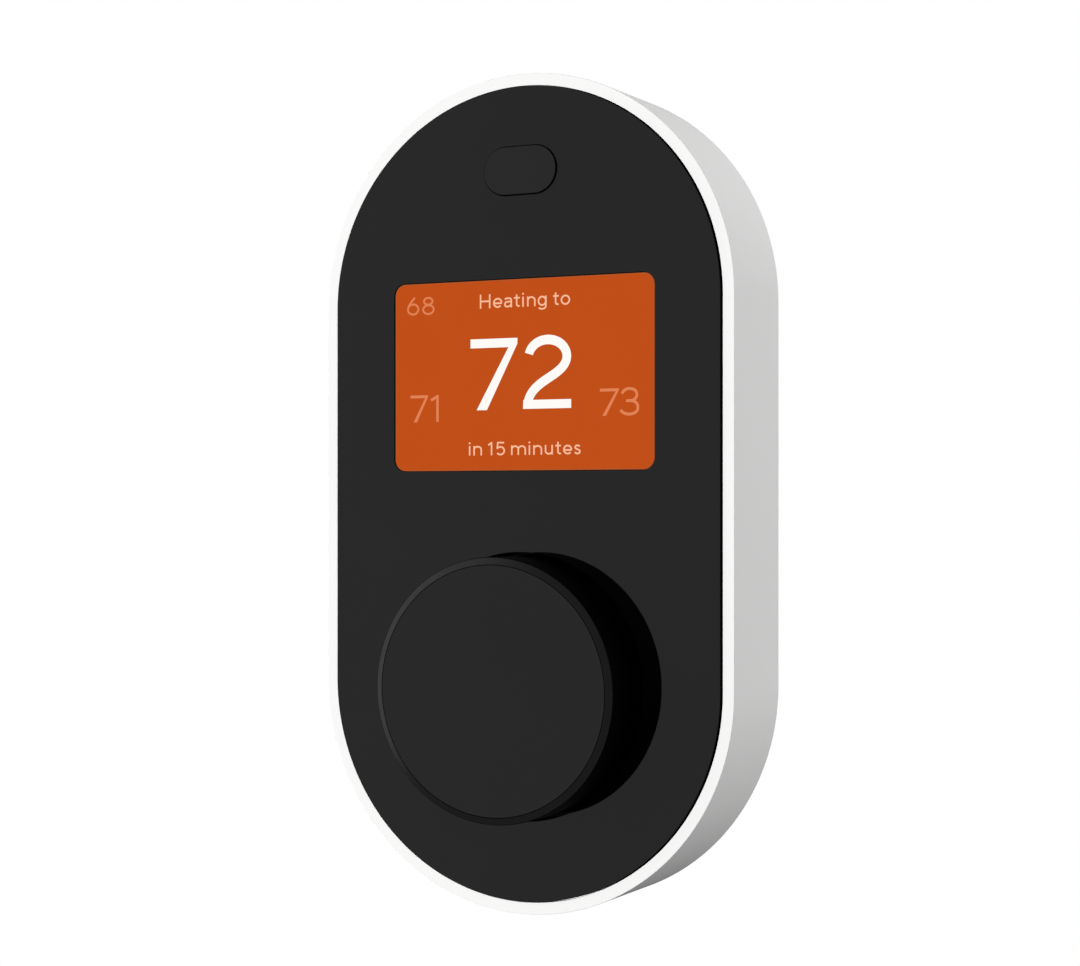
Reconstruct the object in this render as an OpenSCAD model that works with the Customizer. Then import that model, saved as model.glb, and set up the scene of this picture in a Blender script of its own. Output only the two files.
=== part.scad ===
// Wall thermostat with a dial that turns and presses, built the way it comes apart on a bench.
// Millimetres. +Z is up. The wall face is the plane y = 0 and the body stands out towards -Y.
// Every depth below is a distance from the wall.

/* [Body] */
// Radius of the two round ends, half of the body's width
body_r = 34; // [33.5:0.1:36]
// Distance between the centres of the two round ends
body_run = 56.84; // [56:0.02:60]
// Depth of the white rim
rim_depth = 17.6; // [17.4:0.1:19]
// Thickness of the white wall at the rim
wall_t = 1.85; // [1.5:0.05:2]
// How far the black panel stands proud of the rim
panel_proud = 0.5; // [0:0.01:0.8]
// Thickness of the black panel
panel_t = 1.2; // [1:0.05:1.3]

/* [Display] */
// Width of the lit display
display_w = 43.8; // [38:0.1:45]
// Height of the lit display
display_h = 28.9; // [24:0.1:29.5]
// Height of the display's centre above the body's centre
display_z = 17.7; // [17:0.05:18.5]
// Corner radius of the display
display_corner = 1.9; // [1:0.1:3]

/* [Sensor] */
// Width of the motion sensor's window
sensor_w = 12; // [10:0.1:14]
// Height of the motion sensor's window
sensor_h = 7.1; // [6:0.1:8]
// Height of the window's centre above the body's centre
sensor_z = 48; // [47:0.1:49]

/* [Dial] */
// Radius of the dial
dial_r = 19.42; // [19:0.01:19.6]
// Height of the dial's axis, below the body's centre
dial_z = -28.6; // [-29:0.1:-28.4]
// How far the dial's face stands ahead of the rim
dial_proud = 9.8; // [9.8:0.1:12]
// Width of the bevel round the dial's face
bevel_w = 1.07; // [0.6:0.01:1.3]
// Depth of the bevel
bevel_t = 0.5; // [0.2:0.05:0.7]
// Travel of the dial when it is pressed
press_travel = 0.5; // [0.3:0.05:0.5]
// Number of detents in a turn
detents = 24; // [12:12:36]

/* [Wall plate] */
// Thickness of the wall plate
plate_t = 2; // [1.8:0.1:2.2]
// Distance between the two wall screws, that of a single-gang box
screw_gap = 83.3; // [80:0.1:85]
// Width of a wall screw slot
slot_w = 4.4; // [4:0.1:5]
// Length of a wall screw slot
slot_l = 7; // [6:0.1:9]
// Width of the opening that the wires come through
wire_opening_w = 20; // [16:0.5:21]
// Height of the opening that the wires come through
wire_opening_h = 34; // [20:0.5:36]
// Distance between neighbouring terminals
terminal_pitch = 6.8; // [6.4:0.1:6.8]

/* [Hidden] */
$fn = 96;
eps = 0.01;
skin = 0.05;
end_z = body_run / 2;
ROWS = [-2, -1, 0, 1, 2];
SIDES = [-1, 1];

// Depths, from the wall outwards
skirt_depth = 0.3;
fence_depth = 5;
block_depth = 6.8;
cover_depth = 8.8;
cover_t = 1.1;
board_depth = 11;
board_t = 1.2;
board_front = board_depth + board_t;
panel_front = rim_depth + panel_proud;
panel_back = panel_front - panel_t;
tape_t = 0.2;
ledge_front = panel_back - tape_t;
ledge_t = 1.23;
ledge_back = ledge_front - ledge_t;
dial_front = rim_depth + dial_proud;

// Shell and plate outlines, as radii of the round ends
inner_r = body_r - wall_t;
ledge_r = inner_r - 1.65;
panel_r = inner_r - 0.1;
cover_r = inner_r - 0.25;
board_r = inner_r - 2.25;
plate_r = inner_r - 0.65;
fence_t = 1.4;
fence_r = plate_r - fence_t;

// Corner posts that hold the board and the back cover
post_r = 2.6;
post_reach = 28.4;
post_x = post_reach * cos(45);
post_z = end_z + post_reach * sin(45);
post_pilot_r = 0.9;
post_hole_r = 1.1;
screw_head_r = 2.1;
screw_head_t = 1;
screw_shank_r = 0.85;

// Display stack
window_t = 0.2;
glass_t = 1.13;
glass_back = panel_front - window_t - glass_t;
rear_glass_t = 0.8;
rear_glass_back = glass_back - rear_glass_t;
diffuser_t = 0.4;
diffuser_back = rear_glass_back - diffuser_t;
guide_t = 1.8;
guide_back = diffuser_back - guide_t - 0.1;
frame_back = board_front + 0.4;
frame_wall = 1.9;
lit_w = display_w + 1.6;
lit_h = display_h + 1.6;
frame_w = lit_w + 2 * frame_wall;
frame_h = lit_h + 2 * frame_wall;
led_count = 6;
led_pitch = 6.4;
led_w = 3;
led_t = 1.4;
led_strip_t = 0.4;
ribbon_w = 12;
ribbon_t = 0.2;
connector_t = 2.4;
connector_h = 1.5;

// Motion sensor
sensor_proud = 0.3;
sensor_gap = 0.1;
sensor_flange = 1.3;
can_r = 4.6;
can_depth = 3;

// Dial well and guide tower
well_gap = 0.53;
well_hole_r = dial_r + well_gap;
well_r = well_hole_r + 0.25;
well_wall = 1.1;
floor_back = board_front + 0.6;
floor_t = 1;
floor_front = floor_back + floor_t;
stem_r = 6;
tower_t = 1.55;
tower_front = floor_front + 6.2;
key_w = 2.2;
key_reach = 7.4;
key_front = tower_front - 1.1;
key_t = 1;
lug_reach = 23.8;
lug_r = 2.3;
lug_back = floor_back + 0.6;
lug_t = 1.2;
LUG_ANGLES = [30, 150, 270];

// Select switch
switch_w = 6;
switch_depth = 3.5;
plunger_r = 1.7;
plunger_front = board_front + switch_depth + 1;
plunger_l = 1.5;

// Dial carrier
carrier_bore_r = 4.8;
carrier_back = floor_front + press_travel + 0.2;
flange_r = 9.6;
flange_back = tower_front + 0.8;
flange_t = 0.8;
flange_front = flange_back + flange_t;
journal_r = 8;
journal_front = dial_front - 2.1;
groove_r = 7.2;
groove_back = flange_front + 2.75;
groove_t = 0.7;
arm_reach = 12;
arm_w = 5.2;

// Return spring
spring_wire_r = 0.4;
spring_r = 8.55;
spring_turns = 5;
spring_steps = 20;
spring_sides = 8;

// Rotor
shell_back = floor_front + 1.4;
shell_inner_r = dial_r - 1.52;
cap_t = 0.8;
cap_r = dial_r - bevel_w - 0.1;
face_front = dial_front - cap_t;
face_t = 1;
face_back = face_front - face_t;
hub_inner_r = 9.45;
hub_outer_r = 11;
hub_back = flange_front + 0.2;
bush_back = flange_front + 0.1;
bush_t = 2.5;
running_gap = 0.05;
magnet_back = shell_back - 0.3;
magnet_t = 2.3;
magnet_inner_r = 12.5;
magnet_outer_r = 15.5;
holder_back = magnet_back + magnet_t;
holder_t = 1.4;
holder_inner_r = 11.6;
detent_back = holder_back + holder_t;
detent_t = 1.6;
detent_inner_r = 12.6;
detent_outer_r = 14.8;
notch_r = 0.9;
nose_r = 0.6;
nose_reach = detent_inner_r - 0.15;

// Terminals
block_in = 11.5;
block_out = 24.5;
block_h = 35;
wire_hole = 2.4;
wire_hole_back = 3;
pocket_in = 18.8;
pocket_w = 4.4;
pocket_h = 4.6;
pocket_back = 2.5;
tab_w = 4;
tab_h = 4.2;
tab_back = 4.9;
tab_front = 8.4;
clamp_t = 0.4;
tongue_l = 3.9;

// Contacts between plate and head
socket_in = 25.4;
socket_w = 3.2;
socket_h = 32;
socket_front = 7.2;
socket_hole = 1.5;
pin_w = 0.7;
pin_back = 4.6;
pin_x = socket_in + socket_w / 2;
strip_back = 9.9;
cover_slot_gap = 0.4;

// Bubble level
level_z = 51.5;
level_l = 20;
level_body = 6;
level_bore_r = 2.2;
level_depth = 5.4;
level_plug = 1.5;
bubble_r = 1;
bubble_l = 4;
cradle_t = 1.4;

// ---------- helpers ----------

// A flat shape, drawn in X and Z, made solid from one depth to another
module layer(near, far) {
    translate([0, -near, 0]) rotate([90, 0, 0]) linear_extrude(far - near) children();
}

// The same, moved to a place on the front
module layer_at(x, z, near, far) {
    translate([x, 0, z]) layer(near, far) children();
}

// A round bar that runs from one depth to another
module bar(x, z, near, far, r) {
    translate([x, -near, z]) rotate([90, 0, 0]) cylinder(h = far - near, r = r);
}

// A tube about the dial's axis
module dial_tube(near, far, inner, outer) {
    difference() {
        bar(0, dial_z, near, far, outer);
        bar(0, dial_z, near - 1, far + 1, inner);
    }
}

// A block between two corners: x, z and depth
module block(x0, x1, z0, z1, near, far) {
    translate([x0, -far, z0]) cube([x1 - x0, far - near, z1 - z0]);
}

// The body's outline with round ends of radius r
module tall(r) {
    for (s = SIDES) translate([0, s * end_z]) circle(r);
    square([2 * r, 2 * end_z], center = true);
}

// An upright slot
module upright_slot(w, h) {
    for (s = SIDES) translate([0, s * (h - w) / 2]) circle(w / 2);
    square([w, h - w], center = true);
}

// A slot that lies flat
module flat_slot(w, h) {
    rotate(90) upright_slot(h, w);
}

// A rectangle with round corners
module round_rect(w, h, r) {
    for (sx = SIDES, sz = SIDES) translate([sx * (w / 2 - r), sz * (h / 2 - r)]) circle(r);
    square([w - 2 * r, h], center = true);
    square([w, h - 2 * r], center = true);
}

// Repeats its children at the four corner posts
module at_posts() {
    for (sx = SIDES, sz = SIDES) translate([sx * post_x, 0, sz * post_z]) children();
}

// Repeats its children at the three lugs of the dial base
module at_lugs() {
    for (a = LUG_ANGLES) translate([lug_reach * cos(a), 0, dial_z + lug_reach * sin(a)]) children();
}

// ---------- wall plate ----------

module wall_plate() color("gainsboro") difference() {
    union() {
        layer(0, plate_t) tall(plate_r);
        layer(0, fence_depth) difference() {
            tall(plate_r);
            tall(fence_r);
        }
        for (s = SIDES) block(s * (level_l / 2 + 0.8) - 0.8, s * (level_l / 2 + 0.8) + 0.8,
            level_z - level_body / 2, level_z + level_body / 2, plate_t - eps, level_depth + 1.2);
        for (s = SIDES) block(-level_l / 2, level_l / 2, level_z + s * (level_body / 2 + skin + cradle_t / 2)
            - cradle_t / 2, level_z + s * (level_body / 2 + skin + cradle_t / 2) + cradle_t / 2,
            plate_t - eps, level_depth);
    }
    layer(-1, plate_t + 1) round_rect(wire_opening_w, wire_opening_h, 2);
    for (s = SIDES) layer_at(0, s * screw_gap / 2, -1, plate_t + 1) upright_slot(slot_w, slot_l);
}

// One row of five terminals; side is -1 for the left and 1 for the right
module terminal_block(side) color("darkseagreen") scale_side(side) difference() {
    block(block_in, block_out, -block_h / 2, block_h / 2, plate_t, block_depth);
    for (k = ROWS) {
        block(block_in - 1, pocket_in + eps, k * terminal_pitch - wire_hole / 2,
            k * terminal_pitch + wire_hole / 2, wire_hole_back, wire_hole_back + wire_hole);
        block(pocket_in, pocket_in + pocket_w, k * terminal_pitch - pocket_h / 2,
            k * terminal_pitch + pocket_h / 2, pocket_back, block_depth + 1);
    }
}

// Mirrors its children to the left when side is -1
module scale_side(side) {
    if (side < 0) mirror([1, 0, 0]) children();
    else children();
}

// Spring clamps: a foot in the pocket and a tongue along the wire's way
module terminal_clamps(side) color("goldenrod") scale_side(side) for (k = ROWS) union() {
    block(pocket_in + skin, pocket_in + pocket_w - skin, k * terminal_pitch - 1.6,
        k * terminal_pitch + 1.6, pocket_back, pocket_back + clamp_t);
    block(pocket_in - clamp_t, pocket_in + skin + clamp_t, k * terminal_pitch - 0.9, k * terminal_pitch + 0.9,
        wire_hole_back, wire_hole_back + clamp_t);
    block(pocket_in + skin, pocket_in + skin + clamp_t, k * terminal_pitch - 0.9, k * terminal_pitch + 0.9,
        pocket_back, wire_hole_back + clamp_t);
    block(pocket_in - tongue_l, pocket_in, k * terminal_pitch - 0.9, k * terminal_pitch + 0.9,
        wire_hole_back, wire_hole_back + clamp_t);
}

// Push tabs 1 to 5 stand on the left from the bottom up, 6 to 10 on the right
module terminal_tab(i) color("whitesmoke") {
    side = i <= 5 ? -1 : 1;
    z = ((i - 1) % 5 - 2) * terminal_pitch;
    x = pocket_in + pocket_w / 2;
    scale_side(side) difference() {
        block(x - tab_w / 2, x + tab_w / 2, z - tab_h / 2, z + tab_h / 2, tab_back, tab_front);
        translate([x - tab_w, -tab_front - 3.4, z]) rotate([0, 90, 0]) cylinder(h = 2 * tab_w, r = 3.8);
    }
}

module contact_sockets() color("dimgray") for (s = SIDES) scale_side(s) difference() {
    block(socket_in, socket_in + socket_w, -socket_h / 2, socket_h / 2, plate_t, socket_front);
    for (k = ROWS) block(pin_x - socket_hole / 2, pin_x + socket_hole / 2, k * terminal_pitch - socket_hole / 2,
        k * terminal_pitch + socket_hole / 2, plate_t + 1, socket_front + 1);
}

module head_clips() color("silver") for (sx = SIDES, sz = SIDES) scale_side(sx)
    block(plate_r, inner_r - 0.1, sz * 21 - 3, sz * 21 + 3, 2.4, 4.6);

module level_vial() color("lightcyan") difference() {
    block(-level_l / 2, level_l / 2, level_z - level_body / 2, level_z + level_body / 2,
        plate_t, level_depth + level_bore_r + 0.8);
    translate([-level_l, -level_depth, level_z]) rotate([0, 90, 0]) cylinder(h = 2 * level_l, r = level_bore_r);
}

module level_plugs() color("white") for (s = SIDES)
    translate([s * (level_l - level_plug) / 2, -level_depth, level_z]) rotate([0, 90, 0])
        cylinder(h = level_plug, r = level_bore_r, center = true);

module level_liquid() color("yellowgreen") difference() {
    translate([0, -level_depth, level_z]) rotate([0, 90, 0])
        cylinder(h = level_l - 2 * level_plug, r = level_bore_r, center = true);
    translate([0, -level_depth, level_z + level_bore_r]) rotate([0, 90, 0])
        cylinder(h = bubble_l, r = bubble_r, center = true);
}

// ---------- shells ----------

module housing() color("white") difference() {
    union() {
        layer(skirt_depth, rim_depth) difference() {
            tall(body_r);
            tall(inner_r);
        }
        layer(ledge_back, ledge_front) difference() {
            tall(inner_r + wall_t / 2);
            tall(ledge_r);
        }
        at_posts() bar(0, 0, board_front, ledge_front - 0.4, post_r);
    }
    at_posts() bar(0, 0, board_front - 1, ledge_back, post_pilot_r);
}

module panel_tape() color("dimgray") layer(ledge_front, panel_back) difference() {
    tall(panel_r);
    tall(ledge_r + 0.1);
}

module front_panel() color([0.16, 0.16, 0.16]) difference() {
    union() {
        layer(panel_back, panel_front) tall(panel_r);
        at_lugs() bar(0, 0, lug_back + lug_t, panel_back + eps, 2);
    }
    layer_at(0, display_z, panel_back - 1, panel_front + 1) round_rect(display_w, display_h, display_corner);
    layer_at(0, sensor_z, panel_back - 1, panel_front + 1)
        flat_slot(sensor_w + 2 * sensor_gap, sensor_h + 2 * sensor_gap);
    bar(0, dial_z, panel_back - 1, panel_front + 1, well_hole_r);
    at_lugs() bar(0, 0, lug_back, panel_back - 0.4, 0.8);
}

module back_cover() color("lightgray") difference() {
    union() {
        layer(cover_depth, cover_depth + cover_t) tall(cover_r);
        at_posts() bar(0, 0, cover_depth, board_depth, post_r + 0.4);
    }
    at_posts() bar(0, 0, cover_depth - 1, board_depth + 1, post_hole_r);
    at_posts() bar(0, 0, cover_depth - 1, cover_depth + cover_t, screw_head_r + 0.1);
    for (s = SIDES) scale_side(s) block(socket_in - cover_slot_gap, socket_in + socket_w + cover_slot_gap,
        -socket_h / 2 - cover_slot_gap, socket_h / 2 + cover_slot_gap, cover_depth - 1, cover_depth + cover_t + 1);
    for (s = SIDES, k = [-1, 0, 1]) layer_at(0, s * 50 + 3.2 * k, cover_depth - 1, cover_depth + cover_t + 1)
        flat_slot(16, 1.4);
}

module case_screws() color("silver") at_posts() union() {
    bar(0, 0, cover_depth + 0.1, cover_depth + 0.1 + screw_head_t, screw_head_r);
    bar(0, 0, cover_depth + 0.1, ledge_back - 0.2, screw_shank_r);
}

// ---------- display ----------

module display_window() color([0.9, 0.9, 0.9, 0.3]) layer_at(0, display_z, panel_front - window_t, panel_front)
    round_rect(display_w - 0.1, display_h - 0.1, display_corner - 0.05);

module lcd_glass() color([0.76, 0.31, 0.08]) layer_at(0, display_z, glass_back, panel_front - window_t)
    round_rect(display_w - 0.3, display_h - 0.3, display_corner - 0.15);

module lcd_rear_glass() color([0.6, 0.6, 0.65]) layer_at(0, display_z, rear_glass_back, glass_back)
    round_rect(lit_w + 0.8, lit_h + 0.8, 1);

module diffuser() color("white") layer_at(0, display_z, diffuser_back, rear_glass_back)
    round_rect(lit_w - 0.2, lit_h - 0.2, 1);

module light_guide() color("azure") layer_at(0, display_z, guide_back, guide_back + guide_t)
    round_rect(lit_w - 0.2, lit_h - 0.2, 1);

module led_places() for (k = [0:led_count - 1]) translate([(k - (led_count - 1) / 2) * led_pitch, 0, 0]) children();

module lcd_frame() color("whitesmoke") difference() {
    layer_at(0, display_z, frame_back, rear_glass_back) round_rect(frame_w, frame_h, 2);
    layer_at(0, display_z, guide_back - 0.1, rear_glass_back + 1) round_rect(lit_w, lit_h, 1);
    led_places() block(-led_w / 2 - 0.1, led_w / 2 + 0.1, display_z - frame_h / 2 - 1, display_z - lit_h / 2 + 1,
        guide_back, guide_back + led_t + 0.3);
}

module backlight_leds() color("ivory") union() {
    frame_z = display_z - frame_h / 2;
    block(-led_pitch * led_count / 2, led_pitch * led_count / 2, frame_z - led_strip_t, frame_z,
        guide_back, guide_back + led_t + 0.2);
    led_places() block(-led_w / 2, led_w / 2, frame_z - eps, frame_z + frame_wall - 0.2,
        guide_back + 0.1, guide_back + 0.1 + led_t);
}

// Flat cable from the display's rear glass round the frame to its connector
module lcd_ribbon() color("chocolate") union() {
    top = display_z + lit_h / 2 + 0.4;
    turn = display_z + frame_h / 2 + 0.8;
    block(-ribbon_w / 2, ribbon_w / 2, top, turn, glass_back - 0.5, glass_back - 0.5 + ribbon_t);
    block(-ribbon_w / 2, ribbon_w / 2, turn - ribbon_t, turn, board_front + 0.7, glass_back - 0.5 + ribbon_t);
    block(-ribbon_w / 2, ribbon_w / 2, turn - ribbon_t, turn + 0.8, board_front + 0.7, board_front + 0.7 + ribbon_t);
}

module lcd_connector() color("ivory") block(-ribbon_w / 2 - 1, ribbon_w / 2 + 1, display_z + frame_h / 2 + 1.6,
    display_z + frame_h / 2 + 1.6 + connector_t, board_front, board_front + connector_h);

// ---------- motion sensor ----------

module sensor_window() color([0.16, 0.16, 0.16]) union() {
    layer_at(0, sensor_z, panel_back - 0.5, panel_front + sensor_proud) flat_slot(sensor_w, sensor_h);
    layer_at(0, sensor_z, panel_back - 1.1, panel_back - 0.03)
        flat_slot(sensor_w + 2 * sensor_flange, sensor_h + 2 * sensor_flange);
}

module pir_sensor() color("silver") union() {
    bar(0, sensor_z, board_front, board_front + 0.6, can_r + 0.4);
    bar(0, sensor_z, board_front, board_front + can_depth, can_r);
    block(-2, 2, sensor_z - 1.5, sensor_z + 1.5, board_front + can_depth - eps, board_front + can_depth + 0.2);
}

// ---------- electronics ----------

module main_board() color("darkgreen") difference() {
    layer(board_depth, board_front) tall(board_r);
    at_posts() bar(0, 0, board_depth - 1, board_front + 1, post_hole_r);
}

module chip(x, z, w, h, t) block(x - w / 2, x + w / 2, z - h / 2, z + h / 2, board_front, board_front + t);

module processor() color([0.1, 0.1, 0.1]) chip(15.5, 41.3, 9, 8, 1);

module wifi_module() color("silver") union() {
    chip(-16, 41.3, 16, 8, 0.8);
    chip(-14, 41.3, 11, 7, 2.4);
}

module relays() color("steelblue") for (k = [0:3]) chip((k - 1.5) * 13, -3.6, 10, 5.6, 3.6);

module capacitors() color("silver") for (p = [[-25.3, -10.5], [25.3, -10.5], [24.6, -38]])
    bar(p[0], p[1], board_front, board_front + 3.1, 2.6);

module header_pins() color("gold") for (s = SIDES) scale_side(s) union() {
    block(socket_in + 0.2, socket_in + socket_w - 0.2, -socket_h / 2, socket_h / 2, strip_back, board_depth);
    for (k = ROWS) block(pin_x - pin_w / 2, pin_x + pin_w / 2, k * terminal_pitch - pin_w / 2,
        k * terminal_pitch + pin_w / 2, pin_back, strip_back + eps);
}

module hall_sensors() color([0.1, 0.1, 0.1]) {
    chip(14, dial_z, 2.6, 1.6, 0.5);
    chip(0, dial_z - 14, 1.6, 2.6, 0.5);
}

module climate_sensor() color("whitesmoke") chip(-9, -54.4, 2.5, 2.5, 0.9);

// ---------- select switch ----------

module tact_switch() color("dimgray") difference() {
    chip(0, dial_z, switch_w, switch_w, switch_depth);
    bar(0, dial_z, plunger_front - plunger_l - press_travel - 0.1, board_front + switch_depth + 1,
        plunger_r + running_gap);
}

module switch_plunger() color("ivory") bar(0, dial_z, plunger_front - plunger_l, plunger_front, plunger_r);

// ---------- dial well ----------

module dial_base() color([0.25, 0.25, 0.25]) difference() {
    union() {
        difference() {
            bar(0, dial_z, floor_back, panel_back - 0.03, well_r + well_wall);
            bar(0, dial_z, floor_front, panel_back + 1, well_r);
        }
        bar(0, dial_z, floor_front - 0.5, tower_front, stem_r + running_gap + tower_t);
        at_lugs() bar(0, 0, lug_back, lug_back + lug_t, lug_r);
        for (a = LUG_ANGLES) translate([0, 0, dial_z]) rotate([0, -a, 0])
            block(well_r + 0.3, lug_reach, -lug_r + 0.6, lug_r - 0.6, lug_back, lug_back + lug_t);
    }
    bar(0, dial_z, floor_back - 1, floor_front, carrier_bore_r - 0.1);
    bar(0, dial_z, floor_front, tower_front + 1, stem_r + running_gap);
    at_lugs() bar(0, 0, lug_back - 1, lug_back + lug_t + 1, 1);
    block(-stem_r - tower_t - 1, stem_r + tower_t + 1, dial_z - key_w / 2 - 0.1, dial_z + key_w / 2 + 0.1,
        floor_front + 1.2, key_front + 0.1);
}

module dial_base_screws() color("silver") at_lugs() union() {
    bar(0, 0, lug_back - screw_head_t, lug_back, 1.9);
    bar(0, 0, lug_back - screw_head_t, panel_back - 0.6, 0.75);
}

// ---------- dial carrier ----------

module dial_carrier() color("lightgray") difference() {
    union() {
        bar(0, dial_z, carrier_back, flange_back + eps, stem_r);
        block(-key_reach, key_reach, dial_z - key_w / 2, dial_z + key_w / 2, key_front - key_t, key_front);
        bar(0, dial_z, flange_back, flange_front, flange_r);
        block(0, arm_reach, dial_z - arm_w / 2, dial_z + arm_w / 2, flange_back, flange_front);
        bar(0, dial_z, flange_front - eps, journal_front, journal_r);
    }
    bar(0, dial_z, carrier_back - 1, plunger_front + 0.02, carrier_bore_r);
    bar(0, dial_z, key_front + 0.6, journal_front + 1, carrier_bore_r - 0.8);
    dial_tube(groove_back, groove_back + groove_t, groove_r, journal_r + 1);
}

// A point on the return spring's wire: a is the angle along the coil and b goes round the wire
function spring_point(a, b) =
    let (r = spring_r + spring_wire_r * cos(b), rise = flange_back - floor_front - 2 * spring_wire_r - 0.1)
    [r * cos(a), -floor_front - spring_wire_r - 0.05 - rise * a / (360 * spring_turns) - spring_wire_r * sin(b),
     r * sin(a)];

module return_spring() color("silver") translate([0, 0, dial_z]) {
    rings = spring_turns * spring_steps;
    points = [for (i = [0:rings], j = [0:spring_sides - 1])
        spring_point(i * 360 / spring_steps, j * 360 / spring_sides)];
    walls = [for (i = [0:rings - 1], j = [0:spring_sides - 1])
        let (k = (j + 1) % spring_sides)
        [i * spring_sides + j, i * spring_sides + k, (i + 1) * spring_sides + k, (i + 1) * spring_sides + j]];
    first = [for (j = [0:spring_sides - 1]) spring_sides - 1 - j];
    last = [for (j = [0:spring_sides - 1]) rings * spring_sides + j];
    polyhedron(points, concat(walls, [first, last]), convexity = 6);
}

module detent_spring() color("goldenrod") union() {
    block(flange_r + 0.3, flange_r + 0.7, dial_z - 2.4, dial_z + 2.4, detent_back + 0.1, flange_back);
    block(flange_r + 0.3, nose_reach - nose_r, dial_z - 0.5, dial_z + 0.5, detent_back + 0.2, detent_back + 1.4);
    bar(nose_reach - nose_r, dial_z, detent_back + 0.2, detent_back + 1.4, nose_r);
}

module retaining_clip() color("silver") difference() {
    dial_tube(groove_back + skin, groove_back + groove_t - skin, groove_r + running_gap, hub_inner_r - 0.45);
    block(-2.2, 2.2, dial_z, dial_z + 2 * journal_r, groove_back - 1, groove_back + groove_t + 1);
}

// ---------- rotor ----------

module dial_shell() color([0.14, 0.14, 0.14]) translate([0, 0, dial_z]) rotate([90, 0, 0]) rotate_extrude()
    polygon([[dial_r, shell_back], [dial_r, dial_front - bevel_t], [dial_r - bevel_w, dial_front],
             [dial_r - bevel_w, face_front], [0, face_front], [0, face_back], [hub_inner_r, face_back],
             [hub_inner_r, hub_back], [hub_outer_r, hub_back], [hub_outer_r, face_back],
             [shell_inner_r, face_back], [shell_inner_r, shell_back]]);

module dial_cap() color([0.16, 0.16, 0.16]) bar(0, dial_z, face_front, dial_front, cap_r);

module dial_bush() color("ivory")
    dial_tube(bush_back, bush_back + bush_t, journal_r + running_gap, hub_inner_r - skin);

module magnet_holder() color("gray")
    dial_tube(holder_back, holder_back + holder_t, holder_inner_r, shell_inner_r - skin);

module magnet_ring() color([0.3, 0.3, 0.33]) dial_tube(magnet_back, magnet_back + magnet_t, magnet_inner_r, magnet_outer_r);

module detent_ring() color("ivory") difference() {
    dial_tube(detent_back, detent_back + detent_t, detent_inner_r, detent_outer_r);
    for (k = [0:detents - 1]) translate([0, 0, dial_z]) rotate([0, k * 360 / detents, 0])
        bar(detent_inner_r, 0, detent_back - 1, detent_back + detent_t + 1, notch_r);
}

wall_plate();
terminal_block(-1);  // terminal_block_left
terminal_block(1);  // terminal_block_right
terminal_clamps(-1);  // terminal_clamps_left
terminal_clamps(1);  // terminal_clamps_right
contact_sockets();
head_clips();
level_vial();
level_plugs();
level_liquid();
housing();
panel_tape();
front_panel();
display_window();
lcd_glass();
lcd_rear_glass();
diffuser();
light_guide();
lcd_frame();
backlight_leds();
lcd_ribbon();
lcd_connector();
sensor_window();
pir_sensor();
main_board();
processor();
wifi_module();
relays();
capacitors();
header_pins();
hall_sensors();
climate_sensor();
tact_switch();
switch_plunger();
dial_base();
dial_base_screws();
back_cover();
case_screws();
dial_carrier();
return_spring();
detent_spring();
retaining_clip();
dial_shell();
dial_cap();
dial_bush();
magnet_holder();
magnet_ring();
detent_ring();
for (i = [1:10]) terminal_tab(i);
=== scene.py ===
"""Looks of a wall thermostat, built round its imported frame.

The frame's axes hold throughout: +Z is up, +Y goes into the wall, and the wall face is the
plane y = 0. Pieces are modelled in millimetres and scaled to metres when they are finished.
A depth is a distance from the wall, so a larger depth is nearer to the person in front.
"""

from __future__ import annotations

import logging
import math
from contextlib import contextmanager
from dataclasses import dataclass, field
from enum import Enum
from typing import Any, Callable, Iterator, Union

import bmesh
import bpy
from mathutils import Matrix, Vector

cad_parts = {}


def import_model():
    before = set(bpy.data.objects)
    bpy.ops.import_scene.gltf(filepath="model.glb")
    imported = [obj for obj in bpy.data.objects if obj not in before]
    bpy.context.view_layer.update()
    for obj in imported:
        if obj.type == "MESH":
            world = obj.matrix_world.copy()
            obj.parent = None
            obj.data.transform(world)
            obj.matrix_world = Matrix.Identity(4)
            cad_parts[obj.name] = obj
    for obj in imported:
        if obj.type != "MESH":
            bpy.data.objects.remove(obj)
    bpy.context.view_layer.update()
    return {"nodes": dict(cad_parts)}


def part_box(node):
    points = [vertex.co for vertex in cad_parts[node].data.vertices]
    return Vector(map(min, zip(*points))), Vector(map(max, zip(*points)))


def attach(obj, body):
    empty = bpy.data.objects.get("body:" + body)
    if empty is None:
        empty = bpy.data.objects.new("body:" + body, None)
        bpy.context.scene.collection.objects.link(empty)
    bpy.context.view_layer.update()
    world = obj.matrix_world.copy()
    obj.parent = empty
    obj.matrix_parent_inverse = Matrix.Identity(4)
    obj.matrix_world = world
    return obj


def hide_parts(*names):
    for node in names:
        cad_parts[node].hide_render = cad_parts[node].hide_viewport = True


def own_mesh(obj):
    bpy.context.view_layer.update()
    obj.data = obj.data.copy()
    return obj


LOG = logging.getLogger("thermostat")
MM = 0.001

Colour = tuple[float, float, float]
Point = tuple[float, float]
FaceTest = Callable[[Vector, Vector], bool]
EdgeTest = Callable[[bmesh.types.BMEdge], bool]


class Body(Enum):
    """The bodies of the frame that pieces ride on."""

    PLATE = "wall_plate"
    HEAD = "head"
    PLUNGER = "plunger"
    CARRIER = "carrier"
    DIAL = "dial"


class Operation(Enum):
    """What a boolean does with its second piece."""

    CUT = "DIFFERENCE"
    JOIN = "UNION"


# --- Shader maths ---


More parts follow.
